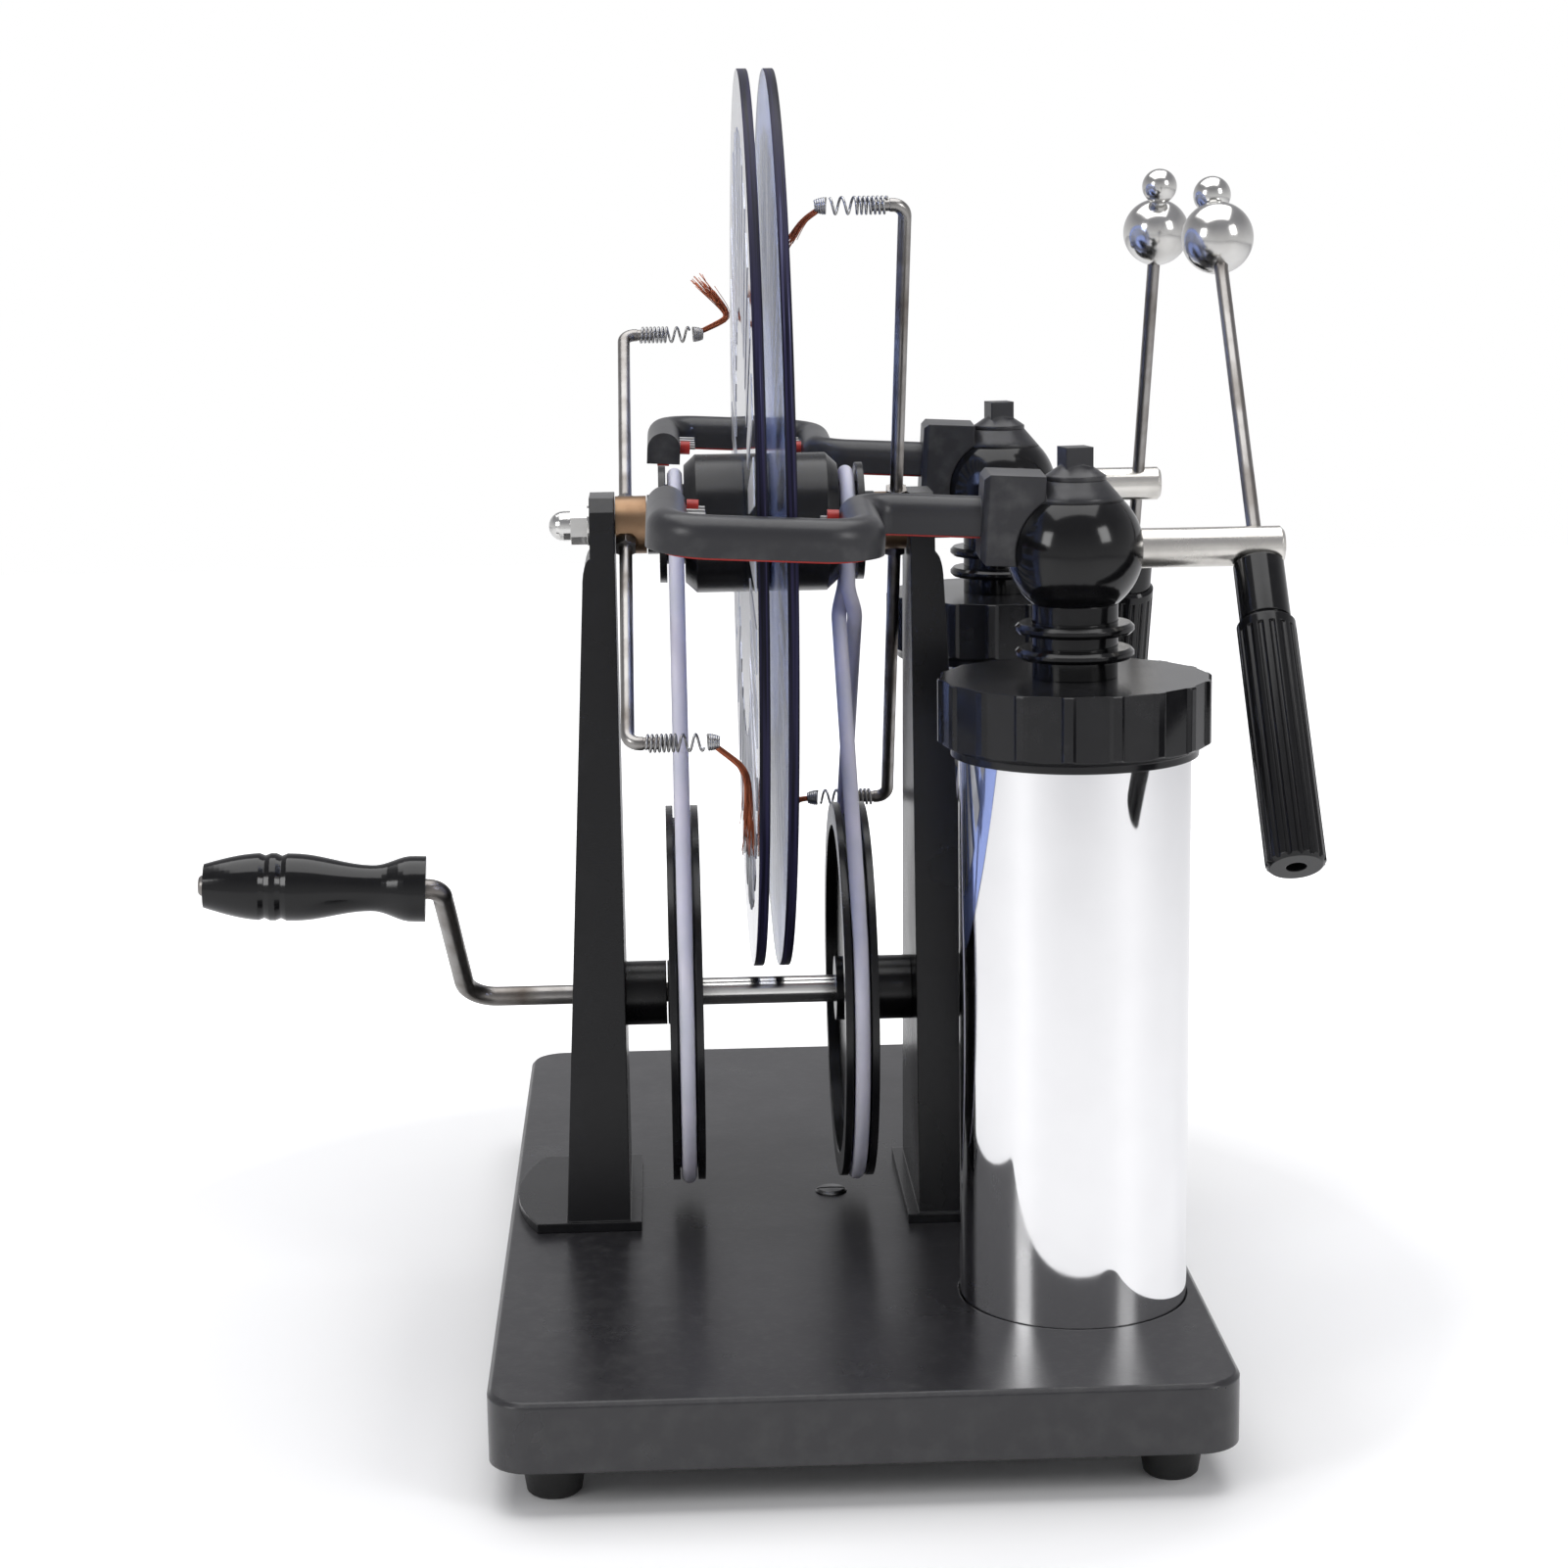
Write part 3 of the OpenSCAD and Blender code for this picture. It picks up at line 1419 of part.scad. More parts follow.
module discharge_handle(side) {
    top = -tube_d / 2 - pass_gap - rod_drop(side);
    neck = top - sleeve_l;
    end = neck - grip_l;
    color([0.06, 0.06, 0.07])
    at_spark_rod(side)
        difference() {
            z_turned([[socket_d / 2, end], [grip_d / 2 - 1, end], [grip_d / 2, end + 1],
                [grip_d / 2, neck - 1.5], [grip_d / 2 - 1, neck - 0.5], [sleeve_d / 2 - 0.5, neck - 0.5],
                [sleeve_d / 2 - 0.5, neck], [sleeve_d / 2, neck], [sleeve_d / 2, top - 0.6],
                [sleeve_d / 2 - 0.6, top], [spark_rod_d / 2 + seat_gap, top],
                [spark_rod_d / 2 + seat_gap, neck - 28], [0, neck - 28], [0, end + socket_depth],
                [socket_d / 2, end + socket_depth]]);
            for (i = [0:flutes - 1])
                rotate(360 * i / flutes)
                    translate([grip_d / 2 + 0.3, 0, end - 1])
                        cylinder(d = flute_d, h = grip_l - 3, $fn = 24);
        }
}

module near_arm_tube() {
    arm_tube(-1);
}
module near_discharge_rod() {
    discharge_rod(-1);
}
module near_discharge_balls() {
    discharge_balls(-1);
}
module near_discharge_handle() {
    discharge_handle(-1);
}
module far_arm_tube() {
    arm_tube(1);
}
module far_discharge_rod() {
    discharge_rod(1);
}
module far_discharge_balls() {
    discharge_balls(1);
}
module far_discharge_handle() {
    discharge_handle(1);
}

base_board();
rubber_feet();
base_underside_screws();
centre_screw();
crank_side_upright();
jar_side_upright();
disc_axle();
axle_nuts();
axle_spacer();
shaft_bushes();
open_belt();
crossed_belt();
jar_tubes();
jar_liners();
jar_foils();
jar_contacts();
jar_caps();
neck_insulators();
terminal_spheres();
terminal_knobs();
near_collector();
far_collector();
comb_strips();
comb_needles();
crank_side_disc();
crank_side_sectors();
crank_side_hub();
crank_side_hub_plate();
crank_side_hub_bushes();
jar_side_disc();
jar_side_sectors();
jar_side_hub();
jar_side_hub_plate();
jar_side_hub_bushes();
crank_rod();
shaft_spacer();
crank_side_pulley();
jar_side_pulley();
pulley_grub_screws();
crank_handle();
crank_side_collar();
crank_side_rods();
crank_side_nuts();
crank_side_springs();
crank_side_upper_brush();
crank_side_lower_brush();
jar_side_collar();
jar_side_rods();
jar_side_nuts();
jar_side_springs();
jar_side_upper_brush();
jar_side_lower_brush();
near_arm_tube();
near_discharge_rod();
near_discharge_balls();
near_discharge_handle();
far_arm_tube();
far_discharge_rod();
far_discharge_balls();
far_discharge_handle();
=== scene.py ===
import math
import random

import bmesh
import bpy
from mathutils import Matrix, Vector


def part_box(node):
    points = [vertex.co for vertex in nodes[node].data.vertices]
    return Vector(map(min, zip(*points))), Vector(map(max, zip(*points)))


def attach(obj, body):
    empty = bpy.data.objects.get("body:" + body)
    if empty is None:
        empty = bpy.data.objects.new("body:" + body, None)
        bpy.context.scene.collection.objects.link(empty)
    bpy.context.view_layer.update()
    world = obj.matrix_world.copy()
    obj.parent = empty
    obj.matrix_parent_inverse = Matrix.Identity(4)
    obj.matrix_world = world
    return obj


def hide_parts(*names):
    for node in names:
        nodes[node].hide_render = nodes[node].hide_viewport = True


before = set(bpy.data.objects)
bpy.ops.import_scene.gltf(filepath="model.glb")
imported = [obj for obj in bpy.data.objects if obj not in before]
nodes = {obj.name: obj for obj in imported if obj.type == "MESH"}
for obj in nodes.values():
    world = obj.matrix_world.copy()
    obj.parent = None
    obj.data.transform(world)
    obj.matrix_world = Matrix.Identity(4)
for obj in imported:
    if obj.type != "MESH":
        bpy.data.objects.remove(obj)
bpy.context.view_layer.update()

# The base board
# A block of dense board under a sprayed charcoal lacquer, with its edges chamfered before
# spraying. The lacquer has a fine orange peel and rubs through a little at the corners, where
# the lighter edge colour stands for that wear and also for a painted edge highlight.


def new_group(name, inputs, outputs):
    group = bpy.data.node_groups.new(name, "ShaderNodeTree")
    for label, value in inputs:
        kind = "NodeSocketColor" if isinstance(value, tuple) else "NodeSocketFloat"
        group.interface.new_socket(label, in_out="INPUT", socket_type=kind).default_value = value
    for label, kind in outputs:
        group.interface.new_socket(label, in_out="OUTPUT", socket_type=kind)
    return group, group.nodes.new("NodeGroupInput"), group.nodes.new("NodeGroupOutput")


def add_node(tree, kind, **settings):
    node = tree.nodes.new(kind)
    for key, value in settings.items():
        setattr(node, key, value)
    return node


def noise(tree, vector, scale, detail=2.0):
    texture = add_node(tree, "ShaderNodeTexNoise")
    texture.inputs["Detail"].default_value = detail
    tree.links.new(vector, texture.inputs["Vector"])
    if isinstance(scale, (int, float)):
        texture.inputs["Scale"].default_value = scale
    else:
        tree.links.new(scale, texture.inputs["Scale"])
    return texture.outputs["Fac"]


def spread(tree, value, low, high, to_low=0.0, to_high=1.0):
    ranged = add_node(tree, "ShaderNodeMapRange")
    ranged.inputs["From Min"].default_value = low
    ranged.inputs["From Max"].default_value = high
    ranged.inputs["To Min"].default_value = to_low
    ranged.inputs["To Max"].default_value = to_high
    tree.links.new(value, ranged.inputs["Value"])
    return ranged.outputs["Result"]


def times(tree, a, b):
    product = add_node(tree, "ShaderNodeMath", operation="MULTIPLY")
    tree.links.new(a, product.inputs[0])
    if isinstance(b, (int, float)):
        product.inputs[1].default_value = b
    else:
        tree.links.new(b, product.inputs[1])
    return product.outputs[0]


def make_skin_group():
    group, given, out = new_group("skin", [("Grain", 900.0), ("Patch", 30.0)],
                                  [("Height", "NodeSocketFloat"), ("Smudge", "NodeSocketFloat")])
    place = add_node(group, "ShaderNodeTexCoord").outputs["Object"]
    group.links.new(noise(group, place, given.outputs["Grain"], 3.0), out.inputs["Height"])
    patches = noise(group, place, given.outputs["Patch"], 5.0)
    group.links.new(spread(group, patches, 0.35, 0.7), out.inputs["Smudge"])
    return group


def make_wear_and_highlight_group():
    # Mask for sharp edges: partly edge wear, partly a painted edge highlight.
    group, given, out = new_group("edge_wear_and_highlight", [("Reach", 0.5)], [("Mask", "NodeSocketFloat")])
    pointed = add_node(group, "ShaderNodeNewGeometry").outputs["Pointiness"]
    place = add_node(group, "ShaderNodeTexCoord").outputs["Object"]
    edges = spread(group, pointed, 0.52, 0.6)
    broken = spread(group, noise(group, place, 160.0, 6.0), 0.45, 0.7)
    group.links.new(times(group, times(group, edges, broken), given.outputs["Reach"]),
                    out.inputs["Mask"])
    return group


def make_dust_group():
    group, given, out = new_group("settled_dust", [("Amount", 0.2)], [("Mask", "NodeSocketFloat")])
    up = add_node(group, "ShaderNodeSeparateXYZ")
    group.links.new(add_node(group, "ShaderNodeNewGeometry").outputs["Normal"], up.inputs[0])
    place = add_node(group, "ShaderNodeTexCoord").outputs["Object"]
    specks = spread(group, noise(group, place, 420.0, 8.0), 0.5, 0.78)
    lying = spread(group, up.outputs["Z"], 0.2, 1.0)
    group.links.new(times(group, times(group, specks, lying), given.outputs["Amount"]),
                    out.inputs["Mask"])
    return group


SKIN = make_skin_group()
WEAR_AND_HIGHLIGHT = make_wear_and_highlight_group()
DUST = make_dust_group()


def place_group(tree, group, **values):
    node = add_node(tree, "ShaderNodeGroup", node_tree=group)
    for label, value in values.items():
        node.inputs[label].default_value = value
    return node


def mixed(tree, mask, a, b):
    mix = add_node(tree, "ShaderNodeMix", data_type="RGBA")
    for socket, colour in ((mix.inputs[6], a), (mix.inputs[7], b)):
        if isinstance(colour, tuple):
            socket.default_value = (*colour, 1.0)
        else:
            tree.links.new(colour, socket)
    tree.links.new(mask, mix.inputs[0])
    return mix.outputs[2]


def new_material(name):
    material = bpy.data.materials.new(name)
    material.use_nodes = True
    tree = material.node_tree
    return material, tree, tree.nodes["Principled BSDF"]


def bump(tree, shader, height, distance, rounding=0.0):
    relief = add_node(tree, "ShaderNodeBump")
    relief.inputs["Distance"].default_value = distance
    relief.inputs["Strength"].default_value = 1.0
    tree.links.new(height, relief.inputs["Height"])
    if rounding:
        bevel = add_node(tree, "ShaderNodeBevel", samples=6)
        bevel.inputs["Radius"].default_value = rounding
        tree.links.new(bevel.outputs["Normal"], relief.inputs["Normal"])
    tree.links.new(relief.outputs["Normal"], shader.inputs["Normal"])


def painted(name, colour, edge_worn_and_lit, rough, grain, relief, rounding, wear_and_highlight=0.4, dust=0.15, shine=0.36):
    material, tree, shader = new_material(name)
    skin = place_group(tree, SKIN, Grain=grain)
    # Sharp edges take the lighter colour, as wear and as a painted edge highlight.
    rubbed_and_lit = mixed(tree, place_group(tree, WEAR_AND_HIGHLIGHT, Reach=wear_and_highlight).outputs["Mask"], colour, edge_worn_and_lit)
    dusty = mixed(tree, place_group(tree, DUST, Amount=dust).outputs["Mask"], rubbed_and_lit,
                  (0.32, 0.32, 0.31))
    tree.links.new(dusty, shader.inputs["Base Color"])
    tree.links.new(spread(tree, skin.outputs["Smudge"], 0.0, 1.0, rough - 0.02, rough + 0.03),
                   shader.inputs["Roughness"])
    bump(tree, shader, skin.outputs["Height"], relief, rounding)
    shader.inputs["Specular IOR Level"].default_value = shine
    return material


def finish_node(node, *materials):
    mesh = nodes[node].data
    mesh.materials.clear()
    for material in materials:
        mesh.materials.append(material)
    return nodes[node]


lacquer = painted("charcoal_lacquer", (0.018, 0.0175, 0.02), (0.05, 0.05, 0.05), 0.29, 1400.0,
                  0.00002, 0.0009, wear_and_highlight=0.3, dust=0.05, shine=0.55)
finish_node("base_board", lacquer)

# The feet and the screws under the base
# Four moulded rubber feet, each held by a plated pan head screw that is driven up through
# its recess. More of the same screws hold the uprights and the jars from below.

rubber = painted("foot_rubber", (0.012, 0.012, 0.012), (0.05, 0.05, 0.05), 0.55, 1100.0,
                 0.00008, 0.0004, wear_and_highlight=0.5, dust=0.25)
finish_node("rubber_feet", rubber)


def make_turning_group():
    group, given, out = new_group("turning_marks", [("Pitch", 2600.0)],
                                  [("Height", "NodeSocketFloat"), ("Mask", "NodeSocketFloat")])
    place = add_node(group, "ShaderNodeTexCoord").outputs["Object"]
    group.links.new(noise(group, place, given.outputs["Pitch"], 2.0), out.inputs["Height"])
    stained = noise(group, place, 75.0, 6.0)
    group.links.new(spread(group, stained, 0.4, 0.75), out.inputs["Mask"])
    return group


TURNING = make_turning_group()


def metal(name, bright, dull, rough, pitch=2600.0, relief=0.00001, rounding=0.0002, spot=0.1):
    material, tree, shader = new_material(name)
    marks = place_group(tree, TURNING, Pitch=pitch)
    tree.links.new(mixed(tree, marks.outputs["Mask"], bright, dull), shader.inputs["Base Color"])
    tree.links.new(spread(tree, marks.outputs["Mask"], 0.0, 1.0, rough, rough + spot),
                   shader.inputs["Roughness"])
    shader.inputs["Metallic"].default_value = 1.0
    bump(tree, shader, marks.outputs["Height"], relief, rounding)
    return material


zinc = metal("zinc_plate", (0.62, 0.62, 0.62), (0.42, 0.42, 0.41), 0.26)
finish_node("base_underside_screws", zinc)
finish_node("centre_screw", metal("dull_zinc", (0.3, 0.3, 0.3), (0.14, 0.14, 0.14), 0.3))

# The uprights
# Two tapered mouldings in black plastic. Each stands on its bowed flange, is screwed from
# below, and carries the axle at its top and a crankshaft boss lower down.

moulding = painted("black_moulding", (0.0045, 0.0045, 0.0055), (0.025, 0.025, 0.027), 0.26, 1700.0,
                   0.00002, 0.0006, wear_and_highlight=0.2, dust=0.03)
finish_node("crank_side_upright", moulding)
finish_node("jar_side_upright", moulding)

# The axle, its nuts and its spacer
# A drawn steel axle, fixed in both uprights by polished acorn nuts on plain washers. A thin
# spacer keeps the two hubs apart in the middle.

steel = metal("drawn_steel", (0.3, 0.29, 0.28), (0.13, 0.11, 0.095), 0.28, spot=0.22)
polished = metal("polished_nickel", (0.66, 0.655, 0.64), (0.5, 0.49, 0.47), 0.15,
                 relief=0.000004, spot=0.06)
finish_node("disc_axle", steel)
finish_node("axle_nuts", polished)
finish_node("axle_spacer", steel)
bronze = metal("sintered_bronze", (0.46, 0.27, 0.11), (0.25, 0.14, 0.06), 0.38)
finish_node("shaft_bushes", bronze)

# The crankshaft
# One steel rod, cold bent twice to make the arm and the handle's pin. A bright tube spaces
# the pulleys on it, and grub screws lock them.


def tube_mesh(name, points, radius, sides, closed=False):
    mesh = bpy.data.meshes.new(name)
    bm = bmesh.new()
    count = len(points)
    normal = Vector((1, 0, 0))
    rings = []
    for i, point in enumerate(points):
        if closed:
            along = (points[(i + 1) % count] - points[i - 1]).normalized()
        else:
            along = (points[min(i + 1, count - 1)] - points[max(i - 1, 0)]).normalized()
        if i == 0 and abs(along.x) > 0.8:
            normal = Vector((0, 1, 0))
        normal = (normal - along * normal.dot(along)).normalized()
        side = along.cross(normal)
        here = radius[i] if isinstance(radius, list) else radius
        rings.append([bm.verts.new(point + here * (math.cos(a) * normal + math.sin(a) * side))
                      for a in (2 * math.pi * k / sides for k in range(sides))])
    spans = count if closed else count - 1
    for i in range(spans):
        first, second = rings[i], rings[(i + 1) % count]
        for k in range(sides):
            bm.faces.new((first[k], first[(k + 1) % sides], second[(k + 1) % sides], second[k]))
    if not closed:
        bm.faces.new(rings[0][::-1])
        bm.faces.new(rings[-1])
    bm.normal_update()
    bm.to_mesh(mesh)
    bm.free()
    for polygon in mesh.polygons:
        polygon.use_smooth = len(polygon.vertices) == 4
    return mesh


def piece(name, mesh, body, slot_name, material, *replaced):
    made = bpy.data.objects.new(name, mesh)
    bpy.context.scene.collection.objects.link(made)
    mesh.materials.append(material)
    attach(made, body)
    if replaced:
        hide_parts(*replaced)
    return made


def bend(corner, before, after, radius):
    angle = before.angle(after)
    side = (after - before * before.dot(after)).normalized()
    centre = corner - before * radius * math.tan(angle / 2) + side * radius
    return [centre - side * radius * math.cos(angle * i / BEND_STEPS)
            + before * radius * math.sin(angle * i / BEND_STEPS) for i in range(BEND_STEPS + 1)]


axle_low, axle_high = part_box("disc_axle")
disc_plane = (axle_low.x + axle_high.x) / 2
axle_z = (axle_low.z + axle_high.z) / 2
spacer_low, spacer_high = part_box("shaft_spacer")
shaft_z = (spacer_low.z + spacer_high.z) / 2
shaft_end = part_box("crank_rod")[1].x
CRANK_ARM_X = 0.094
CRANK_THROW = 0.0616
ARM_FLARE = 0.0041
CRANK_LEAN = math.radians(44)
HANDLE_TILT = math.radians(4)
CRANK_BEND = 0.010
PIN_BEND = 0.0045
HANDLE_CLEAR = 0.0004
HANDLE_LENGTH = 0.065
PIN_PROUD = 0.0015
PIN_CHAMFER = 0.0006
ROD_RADIUS = 0.003
BEND_STEPS = 14
ROD_SIDES = 40
arm_turn = Vector((0, -math.sin(CRANK_LEAN), math.cos(CRANK_LEAN)))
handle_axis = Vector((-math.cos(HANDLE_TILT), 0, 0)) + math.sin(HANDLE_TILT) * arm_turn
crank_corner = Vector((disc_plane - CRANK_ARM_X, 0, shaft_z))
pin_corner = crank_corner + CRANK_THROW * arm_turn - Vector((ARM_FLARE, 0, 0))
arm_axis = (pin_corner - crank_corner).normalized()
pin_bend = bend(pin_corner, arm_axis, handle_axis, PIN_BEND)
pin_end = pin_bend[-1] + handle_axis * (HANDLE_CLEAR + HANDLE_LENGTH + PIN_PROUD)
crank_route = ([Vector((shaft_end, 0, shaft_z)), Vector((shaft_end - 0.001, 0, shaft_z))]
               + bend(crank_corner, Vector((-1, 0, 0)), arm_axis, CRANK_BEND) + pin_bend
               + [pin_end - handle_axis * PIN_CHAMFER, pin_end])
crank_radii = [ROD_RADIUS] * (len(crank_route) - 1) + [ROD_RADIUS - PIN_CHAMFER]
piece("crank_bent_rod", tube_mesh("crank_bent_rod", crank_route, crank_radii, ROD_SIDES),
      "crank", "bright_steel", steel, "crank_rod")
finish_node("shaft_spacer", polished)
black_oxide = metal("black_oxide", (0.05, 0.05, 0.05), (0.03, 0.03, 0.03), 0.4)
finish_node("pulley_grub_screws", black_oxide)

# The drive pulleys
# Two black mouldings with a round groove, a thin web and a collar, as long as the arms of
# the uprights leave room for.

finish_node("crank_side_pulley", moulding)
finish_node("jar_side_pulley", moulding)

# The handle
# Turned from black plastic and polished, with two grooves round its belly. It spins on the
# pin, whose end shows at the free end.

gloss = painted("polished_black", (0.004, 0.004, 0.0045), (0.03, 0.03, 0.03), 0.13, 900.0,
                0.000004, 0.0004, wear_and_highlight=0.1, dust=0.02)
finish_node("crank_handle", gloss)

# The discs
# Two acrylic discs, one clear and one tinted blue, laser cut with the edge left sharp. Their
# cut edges gather light and look deep blue. Foil sectors are glued to the outer faces.


def make_acrylic(name, colour, clear, ior, rough):
    material, tree, shader = new_material(name)
    place = add_node(tree, "ShaderNodeTexCoord").outputs["Object"]
    haze = noise(tree, place, 26.0, 5.0)
    shader.inputs["Base Color"].default_value = (*colour, 1.0)
    tree.links.new(spread(tree, haze, 0.3, 0.8, rough, rough + 0.07), shader.inputs["Roughness"])
    shader.inputs["Transmission Weight"].default_value = clear
    shader.inputs["IOR"].default_value = ior
    bump(tree, shader, noise(tree, place, 60.0, 2.0), 0.00001)
    return material


DISC_BORE = 0.00503
DISC_SIDES = 256
EDGE_BREAK = 0.0002


def disc_mesh(name, near_x, far_x, rim):
    profile = [(near_x, DISC_BORE), (near_x, rim - EDGE_BREAK), (near_x + EDGE_BREAK, rim),
               (far_x - EDGE_BREAK, rim), (far_x, rim - EDGE_BREAK), (far_x, DISC_BORE)]
    verts, faces = [], []
    for k in range(DISC_SIDES):
        around = 2 * math.pi * k / DISC_SIDES
        verts += [(x, r * math.cos(around), axle_z + r * math.sin(around)) for x, r in profile]
    for k in range(DISC_SIDES):
        here, there = 6 * k, 6 * ((k + 1) % DISC_SIDES)
        faces += [(here + i, there + i, there + (i + 1) % 6, here + (i + 1) % 6) for i in range(6)]
    mesh = bpy.data.meshes.new(name)
    mesh.from_pydata(verts, [], faces)
    for polygon in mesh.polygons:
        polygon.use_smooth = polygon.index % 6 in (2, 5)
        polygon.material_index = 1 if polygon.index % 6 in (1, 2, 3) else 0
    return mesh


def make_cut_edge():
    material, tree, shader = new_material("cut_acrylic_edge")
    place = add_node(tree, "ShaderNodeMapping")
    place.inputs["Scale"].default_value = (1500.0, 14.0, 14.0)
    tree.links.new(add_node(tree, "ShaderNodeTexCoord").outputs["Object"], place.inputs["Vector"])
    lines = noise(tree, place.outputs["Vector"], 1.0, 3.0)
    navy = mixed(tree, spread(tree, lines, 0.4, 0.62), (0.003, 0.003, 0.008),
                 (0.022, 0.02, 0.055))
    # The lighter lines along the cut edge are painted internal reflection.
    tree.links.new(mixed(tree, spread(tree, lines, 0.64, 0.74), navy, (0.16, 0.17, 0.3)),
                   shader.inputs["Base Color"])
    tree.links.new(spread(tree, lines, 0.3, 0.7, 0.3, 0.5), shader.inputs["Roughness"])
    shader.inputs["IOR"].default_value = 1.2
    bump(tree, shader, lines, 0.00002)
    return material


sheets = {
    "crank_side": make_acrylic("clear_acrylic", (0.84, 0.88, 1.0), 1.0, 1.49, 0.02),
    "jar_side": make_acrylic("blue_tinted_acrylic", (0.52, 0.62, 1.0), 0.88, 1.12, 0.12),
}
acrylic_edge = make_cut_edge()
sector_foil = metal("sector_foil", (0.66, 0.67, 0.7), (0.5, 0.51, 0.55), 0.3, spot=0.16)
for side in ("crank_side", "jar_side"):
    disc_low, disc_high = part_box(f"{side}_disc")
    disc = piece(f"{side}_sheet",
                 disc_mesh(f"{side}_sheet", disc_low.x, disc_high.x,
                           (disc_high.z - disc_low.z) / 2),
                 f"{side}_disc_body", "blue_acrylic", sheets[side], f"{side}_disc")
    disc.data.materials.append(acrylic_edge)
    finish_node(f"{side}_sectors", sector_foil)

# The hubs
# Stepped black mouldings with the driven groove, glued and screwed to each disc. Bronze
# bushes pressed in at both ends let them run on the axle.

for side in ("crank_side", "jar_side"):
    finish_node(f"{side}_hub", moulding)
    finish_node(f"{side}_hub_plate", moulding)
    finish_node(f"{side}_hub_bushes", bronze)

# The belts
# Round polyurethane cord, cut to length and welded end to end. It is milky, a little violet
# and matt. One runs open. The other is crossed, and passes itself with a small gap.


def make_belt_material():
    material, tree, shader = new_material("belt_cord")
    skin = place_group(tree, SKIN, Grain=700.0, Patch=60.0)
    tree.links.new(mixed(tree, skin.outputs["Smudge"], (0.62, 0.6, 0.71), (0.52, 0.53, 0.62)),
                   shader.inputs["Base Color"])
    tree.links.new(spread(tree, skin.outputs["Smudge"], 0.0, 1.0, 0.42, 0.55),
                   shader.inputs["Roughness"])
    shader.inputs["Subsurface Weight"].default_value = 0.6
    shader.inputs["Subsurface Scale"].default_value = 0.006
    shader.inputs["Subsurface Radius"].default_value = (0.8, 0.8, 1.0)
    bump(tree, shader, skin.outputs["Height"], 0.00003)
    return material


def arc(centre_z, radius, start, stop, steps):
    angles = [start + (stop - start) * k / steps for k in range(steps + 1)]
    return [(radius * math.cos(a), centre_z + radius * math.sin(a)) for a in angles]


BELT_PLANE = 0.026
BELT_CORD = 0.0023
DRIVEN_R = 0.0147
DRIVING_R = 0.0573
BELT_SIDES = 24
CROSSING_SHIFT = 0.0024
CROSSING_HALF = 0.014
CROSSING_STEPS = 20
shaft_drop = axle_z - shaft_z
open_lean = math.asin((DRIVING_R - DRIVEN_R) / shaft_drop)
open_route = [Vector((disc_plane - BELT_PLANE, y, z)) for y, z in
              arc(axle_z, DRIVEN_R, open_lean, math.pi - open_lean, 30)
              + arc(shaft_z, DRIVING_R, math.pi - open_lean, 2 * math.pi + open_lean, 90)]
belt_cord = make_belt_material()
piece("open_belt_cord", tube_mesh("open_belt_cord", open_route, BELT_CORD, BELT_SIDES, True),
      "machine", "belt_polyurethane", belt_cord, "open_belt")

crossed_lean = math.asin((DRIVING_R + DRIVEN_R) / shaft_drop)
crossing_z = axle_z - shaft_drop * DRIVEN_R / (DRIVEN_R + DRIVING_R)


def crossing_strand(direction):
    points = []
    for step in range(-CROSSING_STEPS, 1):
        along = CROSSING_HALF * step / CROSSING_STEPS
        aside = CROSSING_SHIFT * math.cos(math.pi / 2 * along / CROSSING_HALF) ** 2
        points.append(Vector((disc_plane + BELT_PLANE + direction * aside,
                              direction * along * math.sin(crossed_lean),
                              crossing_z - along * math.cos(crossed_lean))))
    return points


crossed_route = (
    [Vector((disc_plane + BELT_PLANE, y, z)) for y, z in
     arc(axle_z, DRIVEN_R, -crossed_lean, math.pi + crossed_lean, 40)]
    + crossing_strand(1)
    + [Vector((disc_plane + BELT_PLANE, y, z)) for y, z in
       arc(shaft_z, DRIVING_R, crossed_lean, -math.pi - crossed_lean, 90)]
    + crossing_strand(-1)[::-1])
piece("crossed_belt_cord",
      tube_mesh("crossed_belt_cord", crossed_route, BELT_CORD, BELT_SIDES, True),
      "machine", "belt_polyurethane", belt_cord, "crossed_belt")

# The jars
# Each has a mirror-polished metal coating outside, a clear insulating cup, a foil lining
# and a brass contact that stands up through the ribbed black cap.

mirror = metal("mirror_coating", (0.83, 0.83, 0.84), (0.81, 0.81, 0.82), 0.045, pitch=140.0,
               relief=0.000004, rounding=0.0, spot=0.05)
finish_node("jar_tubes", mirror)


def make_clear():
    material, tree, shader = new_material("clear_cup")
    place = add_node(tree, "ShaderNodeTexCoord").outputs["Object"]
    shader.inputs["Base Color"].default_value = (0.9, 0.93, 0.95, 1.0)
    shader.inputs["Transmission Weight"].default_value = 1.0
    shader.inputs["IOR"].default_value = 1.49
    tree.links.new(spread(tree, noise(tree, place, 40.0, 4.0), 0.3, 0.8, 0.04, 0.12),
                   shader.inputs["Roughness"])
    return material


finish_node("jar_liners", make_clear())
finish_node("jar_foils", sector_foil)
brass = metal("aged_brass", (0.31, 0.2, 0.12), (0.2, 0.12, 0.07), 0.36, spot=0.14)
finish_node("jar_contacts", brass)
cap_black = painted("cap_black", (0.0075, 0.0075, 0.0085), (0.04, 0.04, 0.042), 0.18, 1300.0,
                    0.00001, 0.0005, wear_and_highlight=0.15, dust=0.02)
finish_node("jar_caps", cap_black)

# The terminals
# A finned insulating neck under a solid black sphere, polished like glass. The turned knob
# above it has a square stud, and the same matt paint as the collectors.

finish_node("neck_insulators", gloss)
finish_node("terminal_spheres", gloss)
collector_paint = painted("collector_paint", (0.025, 0.025, 0.028), (0.12, 0.12, 0.12), 0.32,
                          1500.0, 0.00002, 0.0008, wear_and_highlight=0.3, dust=0.04)
finish_node("terminal_knobs", collector_paint)

